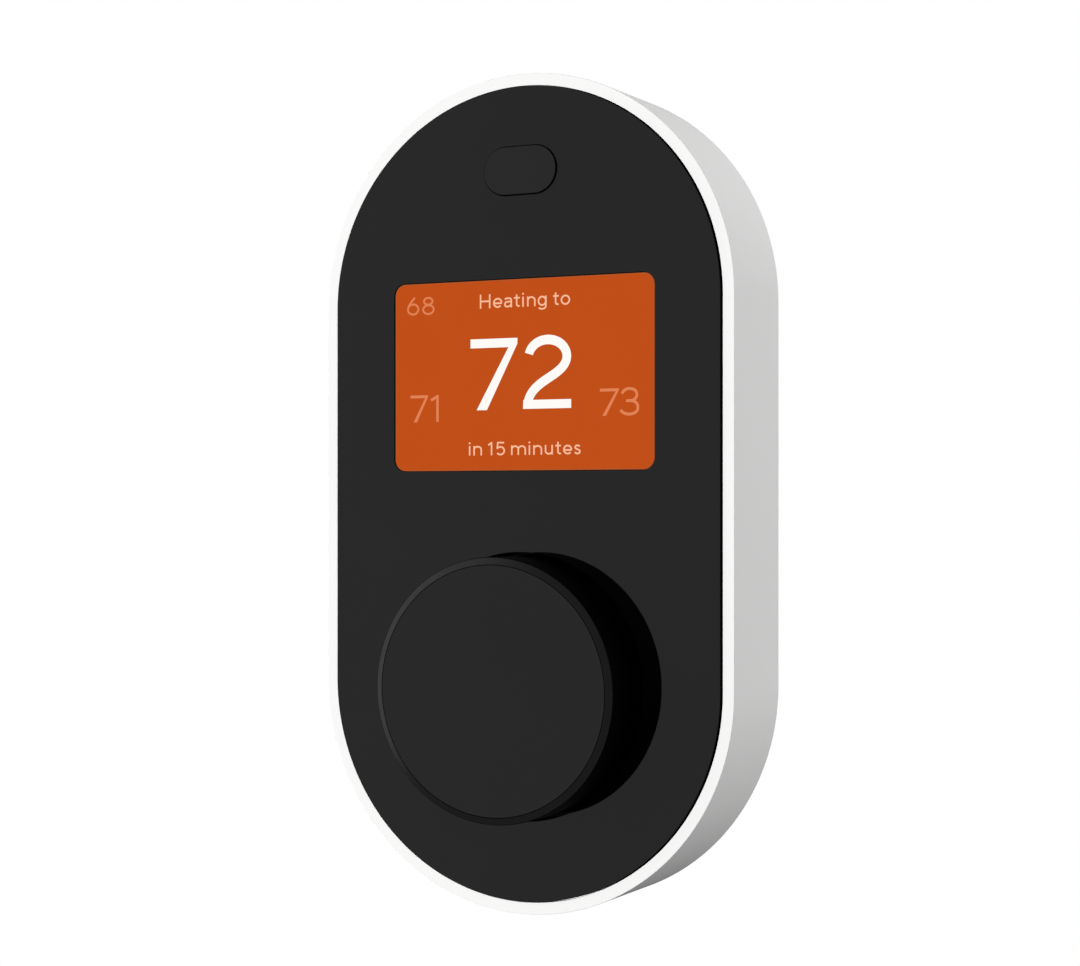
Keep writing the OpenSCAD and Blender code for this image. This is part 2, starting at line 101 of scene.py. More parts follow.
class Signal:
    """A shader socket that carries a number and takes Python's arithmetic."""

    def __init__(self, sheet: "Sheet", socket: bpy.types.NodeSocket) -> None:
        """Wraps a socket of one material's sheet.

        Args:
            sheet: the sheet whose nodes the arithmetic adds to.
            socket: an output that carries a number.
        """
        self.sheet = sheet
        self.socket = socket

    def __add__(self, other: "Number") -> "Signal":
        """Returns self + other."""
        return self.sheet.maths("ADD", self, other)

    def __sub__(self, other: "Number") -> "Signal":
        """Returns self - other."""
        return self.sheet.maths("SUBTRACT", self, other)

    def __rsub__(self, other: "Number") -> "Signal":
        """Returns other - self."""
        return self.sheet.maths("SUBTRACT", other, self)

    def __mul__(self, other: "Number") -> "Signal":
        """Returns self * other."""
        return self.sheet.maths("MULTIPLY", self, other)

    __radd__ = __add__
    __rmul__ = __mul__


Number = Union[Signal, float]


class Sheet:
    """The node sheet of one material."""

    def __init__(self, name: str) -> None:
        """Makes an empty material with its output node.

        Args:
            name: the material's name.
        """
        self.material = bpy.data.materials.new(name)
        self.material.use_nodes = True
        self.tree = self.material.node_tree
        self.tree.nodes.clear()
        self.output = self.node("ShaderNodeOutputMaterial")

    def node(
        self,
        kind: str,
        settings: dict[str, Any] | None = None,
        inputs: dict[str | int, Any] | None = None,
    ) -> bpy.types.Node:
        """Adds one node.

        Args:
            kind: the node's type name.
            settings: the node's own properties, set first.
            inputs: values or links by socket name or number.

        Returns:
            The new node.
        """
        made = self.tree.nodes.new(kind)
        for key, value in (settings or {}).items():
            setattr(made, key, value)
        for key, value in (inputs or {}).items():
            source = value.socket if isinstance(value, Signal) else value
            if isinstance(source, bpy.types.NodeSocket):
                self.tree.links.new(source, made.inputs[key])
            else:
                made.inputs[key].default_value = source
        return made

    def maths(self, operation: str, *values: Number) -> Signal:
        """Adds a Math node and returns its result."""
        made = self.node("ShaderNodeMath", {"operation": operation}, dict(enumerate(values)))
        return Signal(self, made.outputs[0])

    def place(self, stretch: tuple[float, float, float] = (1.0, 1.0, 1.0)) -> bpy.types.NodeSocket:
        """Returns Object coordinates in millimetres, stretched along each axis.

        Args:
            stretch: how much finer the pattern is along each axis.

        Returns:
            The coordinates.
        """
        coordinates = self.node("ShaderNodeTexCoord").outputs["Object"]
        scale = [1 / MM * s for s in stretch]
        made = self.node("ShaderNodeMapping", {}, {"Vector": coordinates, "Scale": scale})
        return made.outputs["Vector"]

    def noise(
        self, size_mm: float, detail: float = 2.0, place: bpy.types.NodeSocket | None = None
    ) -> Signal:
        """Returns soft noise whose features are about size_mm across, around 0.5.

        Args:
            size_mm: the size of a feature.
            detail: how many finer layers it has.
            place: the coordinates, if they aren't plain ones.

        Returns:
            The noise.
        """
        made = self.node(
            "ShaderNodeTexNoise",
            {"noise_dimensions": "3D"},
            {"Vector": place or self.place(), "Scale": 1 / size_mm, "Detail": detail, "Roughness": 0.55},
        )
        return Signal(self, made.outputs["Fac"])

    def cells(self, size_mm: float, place: bpy.types.NodeSocket | None = None) -> Signal:
        """Returns the distance to the nearest of many scattered points.

        Args:
            size_mm: the distance between points.
            place: the coordinates, if they aren't plain ones.

        Returns:
            The distance.
        """
        made = self.node(
            "ShaderNodeTexVoronoi", {}, {"Vector": place or self.place(), "Scale": 1 / size_mm}
        )
        return Signal(self, made.outputs["Distance"])

    def tint(self, share: Number, first: Colour, second: Colour) -> bpy.types.NodeSocket:
        """Returns a colour that goes from first to second with share.

        Args:
            share: how far the colour has gone.
            first: the colour at 0.
            second: the colour at 1.

        Returns:
            The colour.
        """
        made = self.node(
            "ShaderNodeMix",
            {"data_type": "RGBA"},
            {0: share, 6: (*first, 1.0), 7: (*second, 1.0)},
        )
        return made.outputs[2]

    def relief(self, height: Signal, depth_mm: float) -> bpy.types.NodeSocket:
        """Returns a normal that is bumped by height, depth_mm deep.

        Args:
            height: the pattern.
            depth_mm: its height from low to high.

        Returns:
            The normal.
        """
        made = self.node(
            "ShaderNodeBump", {}, {"Height": height, "Strength": 1.0, "Distance": depth_mm * MM}
        )
        return made.outputs["Normal"]

    def skin(self, **sockets: Any) -> bpy.types.Node:
        """Adds the surface shader and joins it to the output.

        Args:
            sockets: values or links, with the socket's words joined by underscores.

        Returns:
            The Principled node.
        """
        named = {key.replace("_", " "): value for key, value in sockets.items()}
        shader = self.node("ShaderNodeBsdfPrincipled", {}, named)
        self.tree.links.new(shader.outputs["BSDF"], self.output.inputs["Surface"])
        return shader


# --- Finishes ---


@dataclass(frozen=True)
class Moulded:
    """Moulded plastic: a fine spark-eroded grain, and faint flow marks in colour and gloss."""

    name: str
    colour: Colour
    roughness: float = 0.45
    grain_mm: float = 0.16
    grain_depth_mm: float = 0.004
    mottle: float = 0.04
    gloss_change: float = 0.05
    specular: float = 0.5
    coat: float = 0.0

    def build(self) -> bpy.types.Material:
        """Makes the material.

        Returns:
            The material.
        """
        sheet = Sheet(self.name)
        grain = sheet.noise(self.grain_mm, 3.0)
        flow = sheet.noise(14.0, 2.0)
        light = tuple(min(1.0, c * (1 + self.mottle)) for c in self.colour)
        dark = tuple(c * (1 - self.mottle) for c in self.colour)
        least = self.roughness - self.gloss_change
        sheet.skin(
            Base_Color=sheet.tint(flow * 0.7 + grain * 0.3, dark, light),
            Roughness=flow * self.gloss_change + (grain * self.gloss_change + least),
            Normal=sheet.relief(grain, self.grain_depth_mm),
            Specular_IOR_Level=self.specular,
            Coat_Weight=self.coat,
            Coat_Roughness=0.12,
        )
        return sheet.material


@dataclass(frozen=True)
class Metal:
    """Bare or plated metal with drawn or rolled streaks."""

    name: str
    colour: Colour
    roughness: float = 0.3
    streak: tuple[float, float, float] = (1.0, 1.0, 0.08)
    streak_mm: float = 0.12

    def build(self) -> bpy.types.Material:
        """Makes the material.

        Returns:
            The material.
        """
        sheet = Sheet(self.name)
        streaks = sheet.noise(self.streak_mm, 3.0, sheet.place(self.streak))
        stain = sheet.noise(3.0, 2.0)
        dark = tuple(c * 0.82 for c in self.colour)
        sheet.skin(
            Base_Color=sheet.tint(stain, dark, self.colour),
            Metallic=1.0,
            Roughness=streaks * 0.16 + (self.roughness - 0.08),
            Normal=sheet.relief(streaks, 0.003),
        )
        return sheet.material


@dataclass(frozen=True)
class Clear:
    """Clear plastic, glass or liquid, seen through with a polished skin."""

    name: str
    colour: Colour
    alpha: float
    roughness: float = 0.06
    specular: float = 0.5

    def build(self) -> bpy.types.Material:
        """Makes the material.

        Returns:
            The material.
        """
        sheet = Sheet(self.name)
        haze = sheet.noise(6.0, 2.0)
        sheet.skin(
            Base_Color=(*self.colour, 1.0),
            Roughness=haze * 0.04 + self.roughness,
            Alpha=self.alpha,
            Specular_IOR_Level=self.specular,
            Normal=sheet.relief(haze, 0.001),
        )
        return sheet.material


@dataclass(frozen=True)
class Lit:
    """A lit part of the display."""

    name: str
    colour: Colour
    strength: float = 1.0
    unevenness: float = 0.02

    def build(self) -> bpy.types.Material:
        """Makes the material.

        Returns:
            The material.
        """
        sheet = Sheet(self.name)
        spread = sheet.noise(9.0, 1.0)
        dim = tuple(c * (1 - self.unevenness) for c in self.colour)
        sheet.skin(
            Base_Color=(0.0, 0.0, 0.0, 1.0),
            Roughness=0.4,
            Specular_IOR_Level=0.0,
            Emission_Color=sheet.tint(spread, dim, self.colour),
            Emission_Strength=self.strength,
        )
        return sheet.material


@dataclass(frozen=True)
class BoardMask:
    """Green solder mask over copper tracks, with bare pads."""

    name: str = "solder_mask"
    mask: Colour = (0.012, 0.12, 0.045)
    track: Colour = (0.03, 0.22, 0.08)
    pad: Colour = (0.72, 0.55, 0.25)

    def build(self) -> bpy.types.Material:
        """Makes the material.

        Returns:
            The material.
        """
        sheet = Sheet(self.name)
        place = sheet.place()
        brick = sheet.node(
            "ShaderNodeTexBrick",
            {"offset": 0.37, "squash": 1.4, "squash_frequency": 3},
            {"Vector": self._flat(sheet), "Scale": 0.22, "Mortar Size": 0.035, "Mortar Smooth": 0.1,
             "Color1": (0, 0, 0, 1), "Color2": (0, 0, 0, 1), "Mortar": (1, 1, 1, 1)},
        )
        tracks = Signal(sheet, brick.outputs["Fac"])
        pads = sheet.maths("LESS_THAN", sheet.cells(3.4, place), 0.13)
        board = sheet.tint(tracks, self.mask, self.track)
        colour = sheet.node("ShaderNodeMix", {"data_type": "RGBA"}, {0: pads, 6: board, 7: (*self.pad, 1.0)})
        sheet.skin(
            Base_Color=colour.outputs[2],
            Metallic=pads * 0.9,
            Roughness=0.36 - pads * 0.1,
            Normal=sheet.relief(tracks * 0.5 + pads * 0.5, 0.02),
            Coat_Weight=0.15,
        )
        return sheet.material

    @staticmethod
    def _flat(sheet: Sheet) -> bpy.types.NodeSocket:
        """Returns X and Z of the place as the pattern's first two axes.

        Args:
            sheet: the material's sheet.

        Returns:
            The place.
        """
        split = sheet.node("ShaderNodeSeparateXYZ", {}, {0: sheet.place()})
        joined = sheet.node("ShaderNodeCombineXYZ", {}, {"X": split.outputs["X"], "Y": split.outputs["Z"]})
        return joined.outputs[0]


Finish = Union[Moulded, Metal, Clear, Lit, BoardMask]


class Finishes:
    """The thermostat's finishes, each built once when it is first asked for."""

    WHITE = Moulded("shell_white", (0.862, 0.862, 0.856), 0.62, 0.2, 0.003, 0.01, 0.04, 0.2)
    PANEL = Moulded("panel_black", (0.0045, 0.0045, 0.0046), 0.8, 0.14, 0.002, 0.05, 0.02, 0.26)
    # Painted shade: a darker copy of the black plastic with no reflection, for the side faces of the panel,
    # the sensor window and the dial's disc, so they read as in shadow.
    SIDE_PAINTED_SHADE = Moulded("side_black_painted_shade", (0.0012, 0.0012, 0.0012), 0.7, 0.14, 0.002, 0.05, 0.02, 0.0)
    SENSOR = Moulded("sensor_black", (0.005, 0.005, 0.0052), 0.8, 0.1, 0.001, 0.05, 0.02, 0.28)
    # Painted shade: the dial shell's side, land and recess wall are a darker, almost unreflective copy of its
    # black, so they merge with the cast shadow beside the dial.
    DIAL_SIDE_PAINTED_SHADE = Moulded("dial_side_painted_shade_black", (0.001, 0.001, 0.001), 0.34, 0.14, 0.002, 0.05, 0.02, 0.04)
    DIAL_BEVEL = Moulded("dial_bevel_black", (0.006, 0.006, 0.006), 0.34, 0.1, 0.001, 0.05, 0.02, 0.5)
    DIAL_CAP = Moulded("dial_cap_black", (0.0045, 0.0045, 0.0046), 0.8, 0.14, 0.002, 0.05, 0.02, 0.26)
    WINDOW = Clear("display_window_clear", (0.02, 0.02, 0.02), 0.02, 0.5, 0.1)
    WINDOW_EDGE = Moulded("display_window_edge", (0.003, 0.003, 0.003), 0.7, 0.1, 0.001, 0.05, 0.02, 0.1)
    PICTURE = Lit("display_orange", (0.556, 0.0795, 0.0082))
    # Painted highlight: a paler glowing line round the picture's edge, standing in for the glint on the
    # window's edge.
    PICTURE_EDGE_HIGHLIGHT = Lit("display_edge_painted_highlight", (0.46, 0.1, 0.025))
    NUMBER = Lit("number_white", (1.03, 1.0, 0.96), 1.0, 0.0)
    WORDS = Lit("words_peach", (1.0, 0.53, 0.33), 1.0, 0.0)
    FAINT = Lit("numbers_faint", (0.78, 0.235, 0.095), 1.0, 0.0)
    GLASS = Clear("display_glass", (0.35, 0.37, 0.4), 0.6, 0.08)
    DIFFUSER = Moulded("diffuser_white", (0.85, 0.85, 0.85), 0.7, 0.3, 0.001)
    GUIDE = Clear("guide_clear", (0.8, 0.9, 0.92), 0.35)
    FRAME = Moulded("frame_white", (0.8, 0.8, 0.79), 0.5)
    LED = Moulded("led_cream", (0.75, 0.68, 0.42), 0.35)
    RIBBON = Moulded("ribbon_amber", (0.36, 0.15, 0.02), 0.28, 0.5, 0.001, 0.2)
    CONNECTOR = Moulded("connector_cream", (0.72, 0.68, 0.58), 0.45)
    TAPE = Moulded("tape_black", (0.02, 0.02, 0.02), 0.9, 0.3, 0.03)
    CAN = Metal("sensor_can", (0.72, 0.72, 0.7), 0.18)
    BOARD = BoardMask()
    CHIP = Moulded("chip_black", (0.018, 0.018, 0.019), 0.55, 0.12, 0.006)
    SHIELD = Metal("shield_tin", (0.66, 0.66, 0.67), 0.36)
    RELAY = Moulded("relay_blue", (0.03, 0.085, 0.3), 0.4)
    CAPACITOR = Metal("capacitor_can", (0.74, 0.74, 0.75), 0.3)
    PINS = Metal("pins_gold", (0.8, 0.58, 0.24), 0.24)
    SWITCH = Moulded("switch_grey", (0.12, 0.12, 0.125), 0.5)
    ACETAL = Moulded("acetal_cream", (0.74, 0.72, 0.66), 0.34, 0.4, 0.001, 0.02)
    # Painted shade: the dial's well is a darker black with no reflection, so the recess round the dial reads
    # as shadowed.
    WELL_PAINTED_SHADE = Moulded("well_black", (0.0015, 0.0015, 0.0015), 0.7, 0.14, 0.003, 0.05, 0.05, 0.0)
    SCREW = Metal("screw_zinc", (0.62, 0.63, 0.66), 0.28)
    COVER = Moulded("cover_grey", (0.66, 0.66, 0.655), 0.5, 0.3, 0.01)
    CARRIER = Moulded("carrier_grey", (0.5, 0.5, 0.5), 0.42)
    SPRING = Metal("spring_wire", (0.6, 0.6, 0.62), 0.26, (1.0, 0.1, 1.0))
    BRONZE = Metal("leaf_bronze", (0.7, 0.44, 0.2), 0.3)
    MAGNET = Metal("magnet_ferrite", (0.13, 0.13, 0.14), 0.6)
    HOLDER = Moulded("holder_grey", (0.16, 0.16, 0.165), 0.5)
    PLATE = Moulded("plate_white", (0.78, 0.78, 0.77), 0.52, 0.35, 0.012)
    TERMINAL = Moulded("terminal_green", (0.14, 0.3, 0.16), 0.46, 0.25, 0.008)
    TAB = Moulded("tab_white", (0.84, 0.84, 0.83), 0.38)
    SOCKET = Moulded("socket_black", (0.03, 0.03, 0.031), 0.5)
    VIAL = Clear("vial_clear", (0.8, 0.88, 0.9), 0.25)
    PLUG = Moulded("plug_white", (0.8, 0.8, 0.8), 0.45)
    LIQUID = Clear("level_green", (0.42, 0.72, 0.03), 0.75)

    _built: dict[str, bpy.types.Material] = {}

    @classmethod
    def material(cls, finish: Finish) -> bpy.types.Material:
        """Returns the material of a finish, building it the first time.

        Args:
            finish: the finish.

        Returns:
            The material.
        """
        if finish.name not in cls._built:
            cls._built[finish.name] = finish.build()
        return cls._built[finish.name]


# --- Modelling ---


@dataclass(frozen=True)
class Span:
    """A box in millimetres, with its depths measured from the wall."""

    left: float
    right: float
    low: float
    high: float
    near: float
    far: float

    @classmethod
    def of(cls, node: str) -> "Span":
        """Returns the box of one node of the frame."""
        low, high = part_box(node)
        return cls(low.x / MM, high.x / MM, low.z / MM, high.z / MM, -high.y / MM, -low.y / MM)

    @property
    def x(self) -> float:
        """The middle, from left to right."""
        return (self.left + self.right) / 2

    @property
    def z(self) -> float:
        """The middle, from bottom to top."""
        return (self.low + self.high) / 2

    @property
    def width(self) -> float:
        """The size from left to right."""
        return self.right - self.left

    @property
    def height(self) -> float:
        """The size from bottom to top."""
        return self.high - self.low


def add_object(name: str, data: bpy.types.ID) -> bpy.types.Object:
    """Adds an object to the scene.

    Args:
        name: its name.
        data: its mesh, curve, light or camera.

    Returns:
        The object.
    """
    obj = bpy.data.objects.new(name, data)
    bpy.context.scene.collection.objects.link(obj)
    return obj


def deselect() -> None:
    """Deselects everything, so that an operator acts on one piece alone."""
    for obj in list(bpy.context.selected_objects):
        obj.select_set(False)


class Piece:
    """One mesh while it is modelled, in millimetres."""

    def __init__(self, obj: bpy.types.Object) -> None:
        """Takes over an object.

        Args:
            obj: the mesh object to work on.
        """
        self.obj = obj

    @classmethod
    def adopt(cls, name: str) -> "Piece":
        """Names the primitive that was just added, and clears its turn and place.

        Args:
            name: the piece's name.

        Returns:
            The piece.
        """
        obj = bpy.context.object
        obj.name = name
        obj.data.name = name
        bpy.ops.object.transform_apply(location=True, rotation=True, scale=True)
        return cls(obj)

    @classmethod
    def bar(
        cls,
        name: str,
        radius: float,
        near: float,
        far: float,
        x: float = 0.0,
        z: float = 0.0,
        sides: int = 96,
    ) -> "Piece":
        """Returns a round bar that stands on the wall, between two depths.

        Args:
            name: its name.
            radius: its radius.
            near: the depth of its back.
            far: the depth of its front.
            x: how far right it stands.
            z: how high it stands.
            sides: how many sides it has.

        Returns:
            The bar.
        """
        deselect()
        bpy.ops.mesh.primitive_cylinder_add(
            vertices=sides,
            radius=radius,
            depth=far - near,
            location=(x, -(near + far) / 2, z),
            rotation=(math.pi / 2, 0, 0),
        )
        return cls.adopt(name)

    @classmethod
    def block(cls, name: str, span: Span) -> "Piece":
        """Returns a block that fills a span.

        Args:
            name: its name.
            span: the box that it fills.

        Returns:
            The block.
        """
        deselect()
        bpy.ops.mesh.primitive_cube_add(size=1, location=(span.x, -(span.near + span.far) / 2, span.z))
        bpy.context.object.scale = (span.width, span.far - span.near, span.height)
        return cls.adopt(name)

    @classmethod
    def about(
        cls, name: str, centre: Point, half_width: float, half_height: float, near: float, far: float
    ) -> "Piece":
        """Returns a block about a point, between two depths.

        Args:
            name: its name.
            centre: its middle, seen from the front.
            half_width: half its width.
            half_height: half its height.
            near: the depth of its back.
            far: the depth of its front.

        Returns:
            The block.
        """
        x, z = centre
        return cls.block(
            name, Span(x - half_width, x + half_width, z - half_height, z + half_height, near, far)
        )

    @classmethod
    def tall(cls, name: str, radius: float, run: float, near: float, far: float, sides: int = 256) -> "Piece":
        """Returns a plate with round ends above and below.

        Args:
            name: the piece's name.
            radius: the ends' radius.
            run: the distance between the ends' centres.
            near: the depth of the back.
            far: the depth of the front.
            sides: how many sides the two ends have together.

        Returns:
            The piece.
        """
        piece = cls.bar(name, radius, near, far, sides=sides)
        with piece.editing():
            bpy.ops.mesh.select_all(action="SELECT")
            bpy.ops.mesh.bisect(plane_co=(0, 0, 0), plane_no=(0, 0, 1), threshold=0.001)
            piece.pick_faces(lambda centre, normal: centre.z > 0)
            bpy.ops.mesh.split()
            bpy.ops.transform.translate(value=(0, 0, run / 2))
            piece.pick_faces(lambda centre, normal: centre.z < run / 2 - radius / 2 and centre.z < 0.001)
            bpy.ops.transform.translate(value=(0, 0, -run / 2))
            piece.pick_edges(lambda edge: edge.is_boundary)
            bpy.ops.mesh.bridge_edge_loops()
            piece.face_outwards()
        return piece

    @classmethod
    def wide(cls, name: str, width: float, height: float, near: float, far: float, z: float) -> "Piece":
        """Returns a plate with round ends left and right, about the height z.

        Args:
            name: its name.
            width: its width.
            height: its height.
            near: the depth of its back.
            far: the depth of its front.
            z: the height of its middle.

        Returns:
            The plate.
        """
        piece = cls.tall(name, height / 2, width - height, near, far, 128)
        piece.focus()
        piece.obj.rotation_euler = (0, math.pi / 2, 0)
        piece.obj.location = (0, 0, z)
        bpy.ops.object.transform_apply(location=True, rotation=True, scale=True)
        return piece

    @classmethod
    def rounded(cls, name: str, span: Span, corner: float, segments: int = 12) -> "Piece":
        """Returns a block whose four upright corner edges are rounded.

        Args:
            name: its name.
            span: the box that it fills.
            corner: the radius of its corners.
            segments: how many faces round each.

        Returns:
            The block.
        """
        piece = cls.block(name, span)
        with piece.editing():
            piece.pick_edges(lambda edge: abs(edge.verts[0].co.y - edge.verts[1].co.y) > 1e-4)
            bpy.ops.mesh.bevel(offset=corner, segments=segments, affect="EDGES")
        return piece

    @classmethod
    def copy_of(cls, node: bpy.types.Object, name: str, whole: bool = True) -> "Piece":
        """Returns a merged copy of a node of the frame.

        Args:
            node: the node.
            name: the piece's name.
            whole: whether each flat face is made one; if not, triangles are only paired.

        Returns:
            The piece.
        """
        obj = add_object(name, node.data.copy())
        obj.data.name = name
        obj.data.materials.clear()
        obj.scale = (1 / MM,) * 3
        piece = cls(obj)
        piece.focus()
        bpy.ops.object.transform_apply(location=True, rotation=True, scale=True)
        with piece.editing():
            piece.merge()
            bpy.ops.mesh.customdata_custom_splitnormals_clear()
            if whole:
                bpy.ops.mesh.dissolve_limited(angle_limit=math.radians(0.4))
            else:
                bpy.ops.mesh.tris_convert_to_quads(face_threshold=math.radians(0.4), shape_threshold=math.pi)
        return piece

    def focus(self) -> None:
        """Selects this piece alone, and makes it the active object."""
        deselect()
        self.obj.select_set(True)
        bpy.context.view_layer.objects.active = self.obj

    @contextmanager
    def editing(self) -> Iterator[None]:
        """Goes into edit mode with nothing selected, and leaves it afterwards."""
        self.focus()
        bpy.ops.object.mode_set(mode="EDIT")
        bpy.ops.mesh.select_all(action="DESELECT")
        yield
        bpy.ops.object.mode_set(mode="OBJECT")

    def pick_faces(self, test: FaceTest) -> None:
        """Selects, in edit mode, the faces whose centre and normal pass a test.

        Args:
            test: takes a centre and a normal.
        """
        bpy.ops.mesh.select_mode(type="FACE")
        mesh = bmesh.from_edit_mesh(self.obj.data)
        mesh.normal_update()
        for face in mesh.faces:
            face.select_set(bool(test(face.calc_center_median(), face.normal)))
        mesh.select_flush_mode()
        bmesh.update_edit_mesh(self.obj.data)

    def pick_edges(self, test: EdgeTest) -> None:
        """Selects, in edit mode, the edges that pass a test.

        Args:
            test: says which edges.
        """
        bpy.ops.mesh.select_mode(type="EDGE")
        mesh = bmesh.from_edit_mesh(self.obj.data)
        chosen = [edge for edge in mesh.edges if test(edge)]
        for edge in mesh.edges:
            edge.select_set(False)
        for edge in chosen:
            edge.select_set(True)
        mesh.select_flush_mode()
        bmesh.update_edit_mesh(self.obj.data)

    def pick_front(self, depth: float) -> None:
        """Selects the faces that look forwards at one depth."""
        self.pick_faces(lambda centre, normal: normal.y < -0.9 and abs(-centre.y - depth) < 1e-3)

    def pick_back(self, depth: float) -> None:
        """Selects the faces that look at the wall at one depth."""
        self.pick_faces(lambda centre, normal: normal.y > 0.9 and abs(-centre.y - depth) < 1e-3)

    @staticmethod
    def merge(gap: float = 0.001) -> None:
        """Merges the points that lie closer than gap, in edit mode."""
        bpy.ops.mesh.select_all(action="SELECT")
        bpy.ops.mesh.remove_doubles(threshold=gap)

    @staticmethod
    def inset(by: float) -> None:
        """Insets the selected faces as one region."""
        bpy.ops.mesh.inset(thickness=by, depth=0, use_boundary=True, use_even_offset=True)

    @staticmethod
    def push(out: float) -> None:
        """Extrudes the selected faces away from the wall, or towards it if out is negative."""
        bpy.ops.mesh.extrude_region_move(TRANSFORM_OT_translate={"value": (0, -out, 0)})

    @staticmethod
    def face_outwards() -> None:
        """Makes all faces point outwards, in edit mode."""
        bpy.ops.mesh.select_all(action="SELECT")
        bpy.ops.mesh.normals_make_consistent(inside=False)

    def join_loops(self) -> None:
        """Bridges the open edges, in edit mode, and turns the faces outwards."""
        self.pick_edges(lambda edge: edge.is_boundary)
        bpy.ops.mesh.bridge_edge_loops()
        self.face_outwards()

    def round_edges(self, test: EdgeTest, width: float, segments: int = 4) -> None:
        """Rounds the edges that pass a test.

        Args:
            test: says which edges.
            width: the radius of the rounding.
            segments: how many faces cross it.
        """
        with self.editing():
            self.pick_edges(test)
            bpy.ops.mesh.bevel(offset=width, segments=segments, affect="EDGES", clamp_overlap=True)

    def round_front(self, depth: float, width: float, segments: int) -> None:
        """Rounds the edges of the front face at one depth, as round_edges does."""
        self.round_edges(lambda edge: is_fold(edge) and lies_flat(edge, depth), width, segments)

    def modify(self, kind: str, **settings: Any) -> None:
        """Adds a modifier and applies it.

        Args:
            kind: the modifier's type name.
            settings: its own properties.
        """
        self.focus()
        modifier = self.obj.modifiers.new("shape", kind)
        for key, value in settings.items():
            setattr(modifier, key, value)
        bpy.ops.object.modifier_apply(modifier=modifier.name)

    def combine(self, other: "Piece", operation: Operation) -> None:
        """Cuts another piece out of this one, or joins it on, and deletes the other."""
        self.modify("BOOLEAN", operation=operation.value, object=other.obj, solver="EXACT")
        bpy.data.meshes.remove(other.obj.data)

    def cut_cross(self, centre: Point, reach: float, half: float, near: float, far: float) -> None:
        """Cuts two crossed slots.

        Args:
            centre: where they cross.
            reach: half their length.
            half: half their width.
            near: the depth that they start at.
            far: the depth that they end at.
        """
        for wide, slim in ((reach, half), (half, reach)):
            self.combine(Piece.about("cut", centre, wide, slim, near, far), Operation.CUT)

    def soften(self, width: float, segments: int = 2, angle: float = 40.0) -> None:
        """Rounds every edge sharper than an angle with a Bevel modifier.

        Args:
            width: the rounding's width.
            segments: how many faces cross it.
            angle: the least angle, in degrees, that counts as an edge.
        """
        self.modify(
            "BEVEL",
            width=width,
            segments=segments,
            limit_method="ANGLE",
            angle_limit=math.radians(angle),
            use_clamp_overlap=True,
            loop_slide=False,
        )

    def folded_face(self) -> tuple[Vector, float] | None:
        """Returns the normal and offset of a face that folds over itself, if there is one.

        Returns:
            The two, or None.
        """
        mesh = self.obj.data
        mesh.calc_loop_triangles()
        for triangle in mesh.loop_triangles:
            first, second, third = (mesh.vertices[i].co for i in triangle.vertices)
            across = (second - first).cross(third - first)
            face = mesh.polygons[triangle.polygon_index]
            if across.length > 0.002 and across.normalized().dot(face.normal) < 0.5:
                return face.normal.copy(), first.dot(face.normal)
        return None

    def mend(self) -> None:
        """Lays flat faces that fold over themselves anew, as triangles round their openings."""
        for _ in range(6):
            folded = self.folded_face()
            if folded is None:
                return
            upright, offset = folded
            with self.editing():
                self.pick_faces(
                    lambda centre, normal: normal.dot(upright) > 0.9999
                    and abs(centre.dot(upright) - offset) < 2e-3
                )
                bpy.ops.mesh.delete(type="FACE")
                self.pick_edges(lambda edge: edge.is_boundary)
                bpy.ops.mesh.fill(use_beauty=True)
                self.pick_faces(
                    lambda centre, normal: normal.dot(upright) < -0.9999
                    and abs(centre.dot(upright) - offset) < 2e-3
                )
                bpy.ops.mesh.flip_normals()

    def polish(self, angle: float) -> None:
        """Shades the piece smooth up to an angle and keeps its flat faces flat.

        Args:
            angle: the angle in degrees.
        """
        self.focus()
        bpy.ops.object.shade_smooth_by_angle(angle=math.radians(angle))
        self.modify("WEIGHTED_NORMAL", keep_sharp=True, weight=100)

    def dress(self, *finishes: Finish) -> None:
        """Gives the piece its finishes, the first one all over.

        Args:
            finishes: one for each of its material slots.
        """
        self.obj.data.materials.clear()
        for finish in finishes:
            self.obj.data.materials.append(Finishes.material(finish))

    def finish(self, *finishes: Finish, angle: float = 35.0) -> None:
        """Polishes the piece up to an angle, and gives it its finishes."""
        self.polish(angle)
        self.dress(*finishes)

    def paint(self, slot: int, test: FaceTest) -> None:
        """Gives the faces whose centre and normal pass a test another of the finishes.

        Args:
            slot: the number of the other finish.
            test: takes a centre and a normal.
        """
        for face in self.obj.data.polygons:
            if test(face.center, face.normal):
                face.material_index = slot

    def paint_sides(self, slot: int, lean: float) -> None:
        """Gives the faces that look forwards or backwards by less than lean another finish."""
        self.paint(slot, lambda centre, normal: abs(normal.y) < lean)

    def settle(self, body: Body | str, slot: str, *nodes: str) -> bpy.types.Object:
        """Scales the piece to metres and hands it to the frame.

        Args:
            body: the body that it rides on.
            slot: not used.
            nodes: the nodes of the frame that it stands for.

        Returns:
            The finished object.
        """
        self.obj.data.transform(Matrix.Scale(MM, 4))
        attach(self.obj, body.value if isinstance(body, Body) else body)
        if nodes:
            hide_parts(*nodes)
        LOG.info("made %s", self.obj.name)
        return self.obj


@dataclass(frozen=True)
class Refined:
    """A part whose CAD shape is right, and that only gets its moulded edges and its finish."""

    name: str
    node: str
    body: Body | str
    slot: str
    finish: Finish
    edge: float = 0.12
    whole: bool = True

    def make(self, nodes: dict[str, bpy.types.Object]) -> bpy.types.Object:
        """Builds the part from its node.

        Args:
            nodes: the frame's nodes by name.

        Returns:
            The finished object.
        """
        piece = Piece.copy_of(nodes[self.node], self.name, self.whole)
        piece.soften(self.edge)
        piece.mend()
        piece.finish(self.finish)
        return piece.settle(self.body, self.slot, self.node)


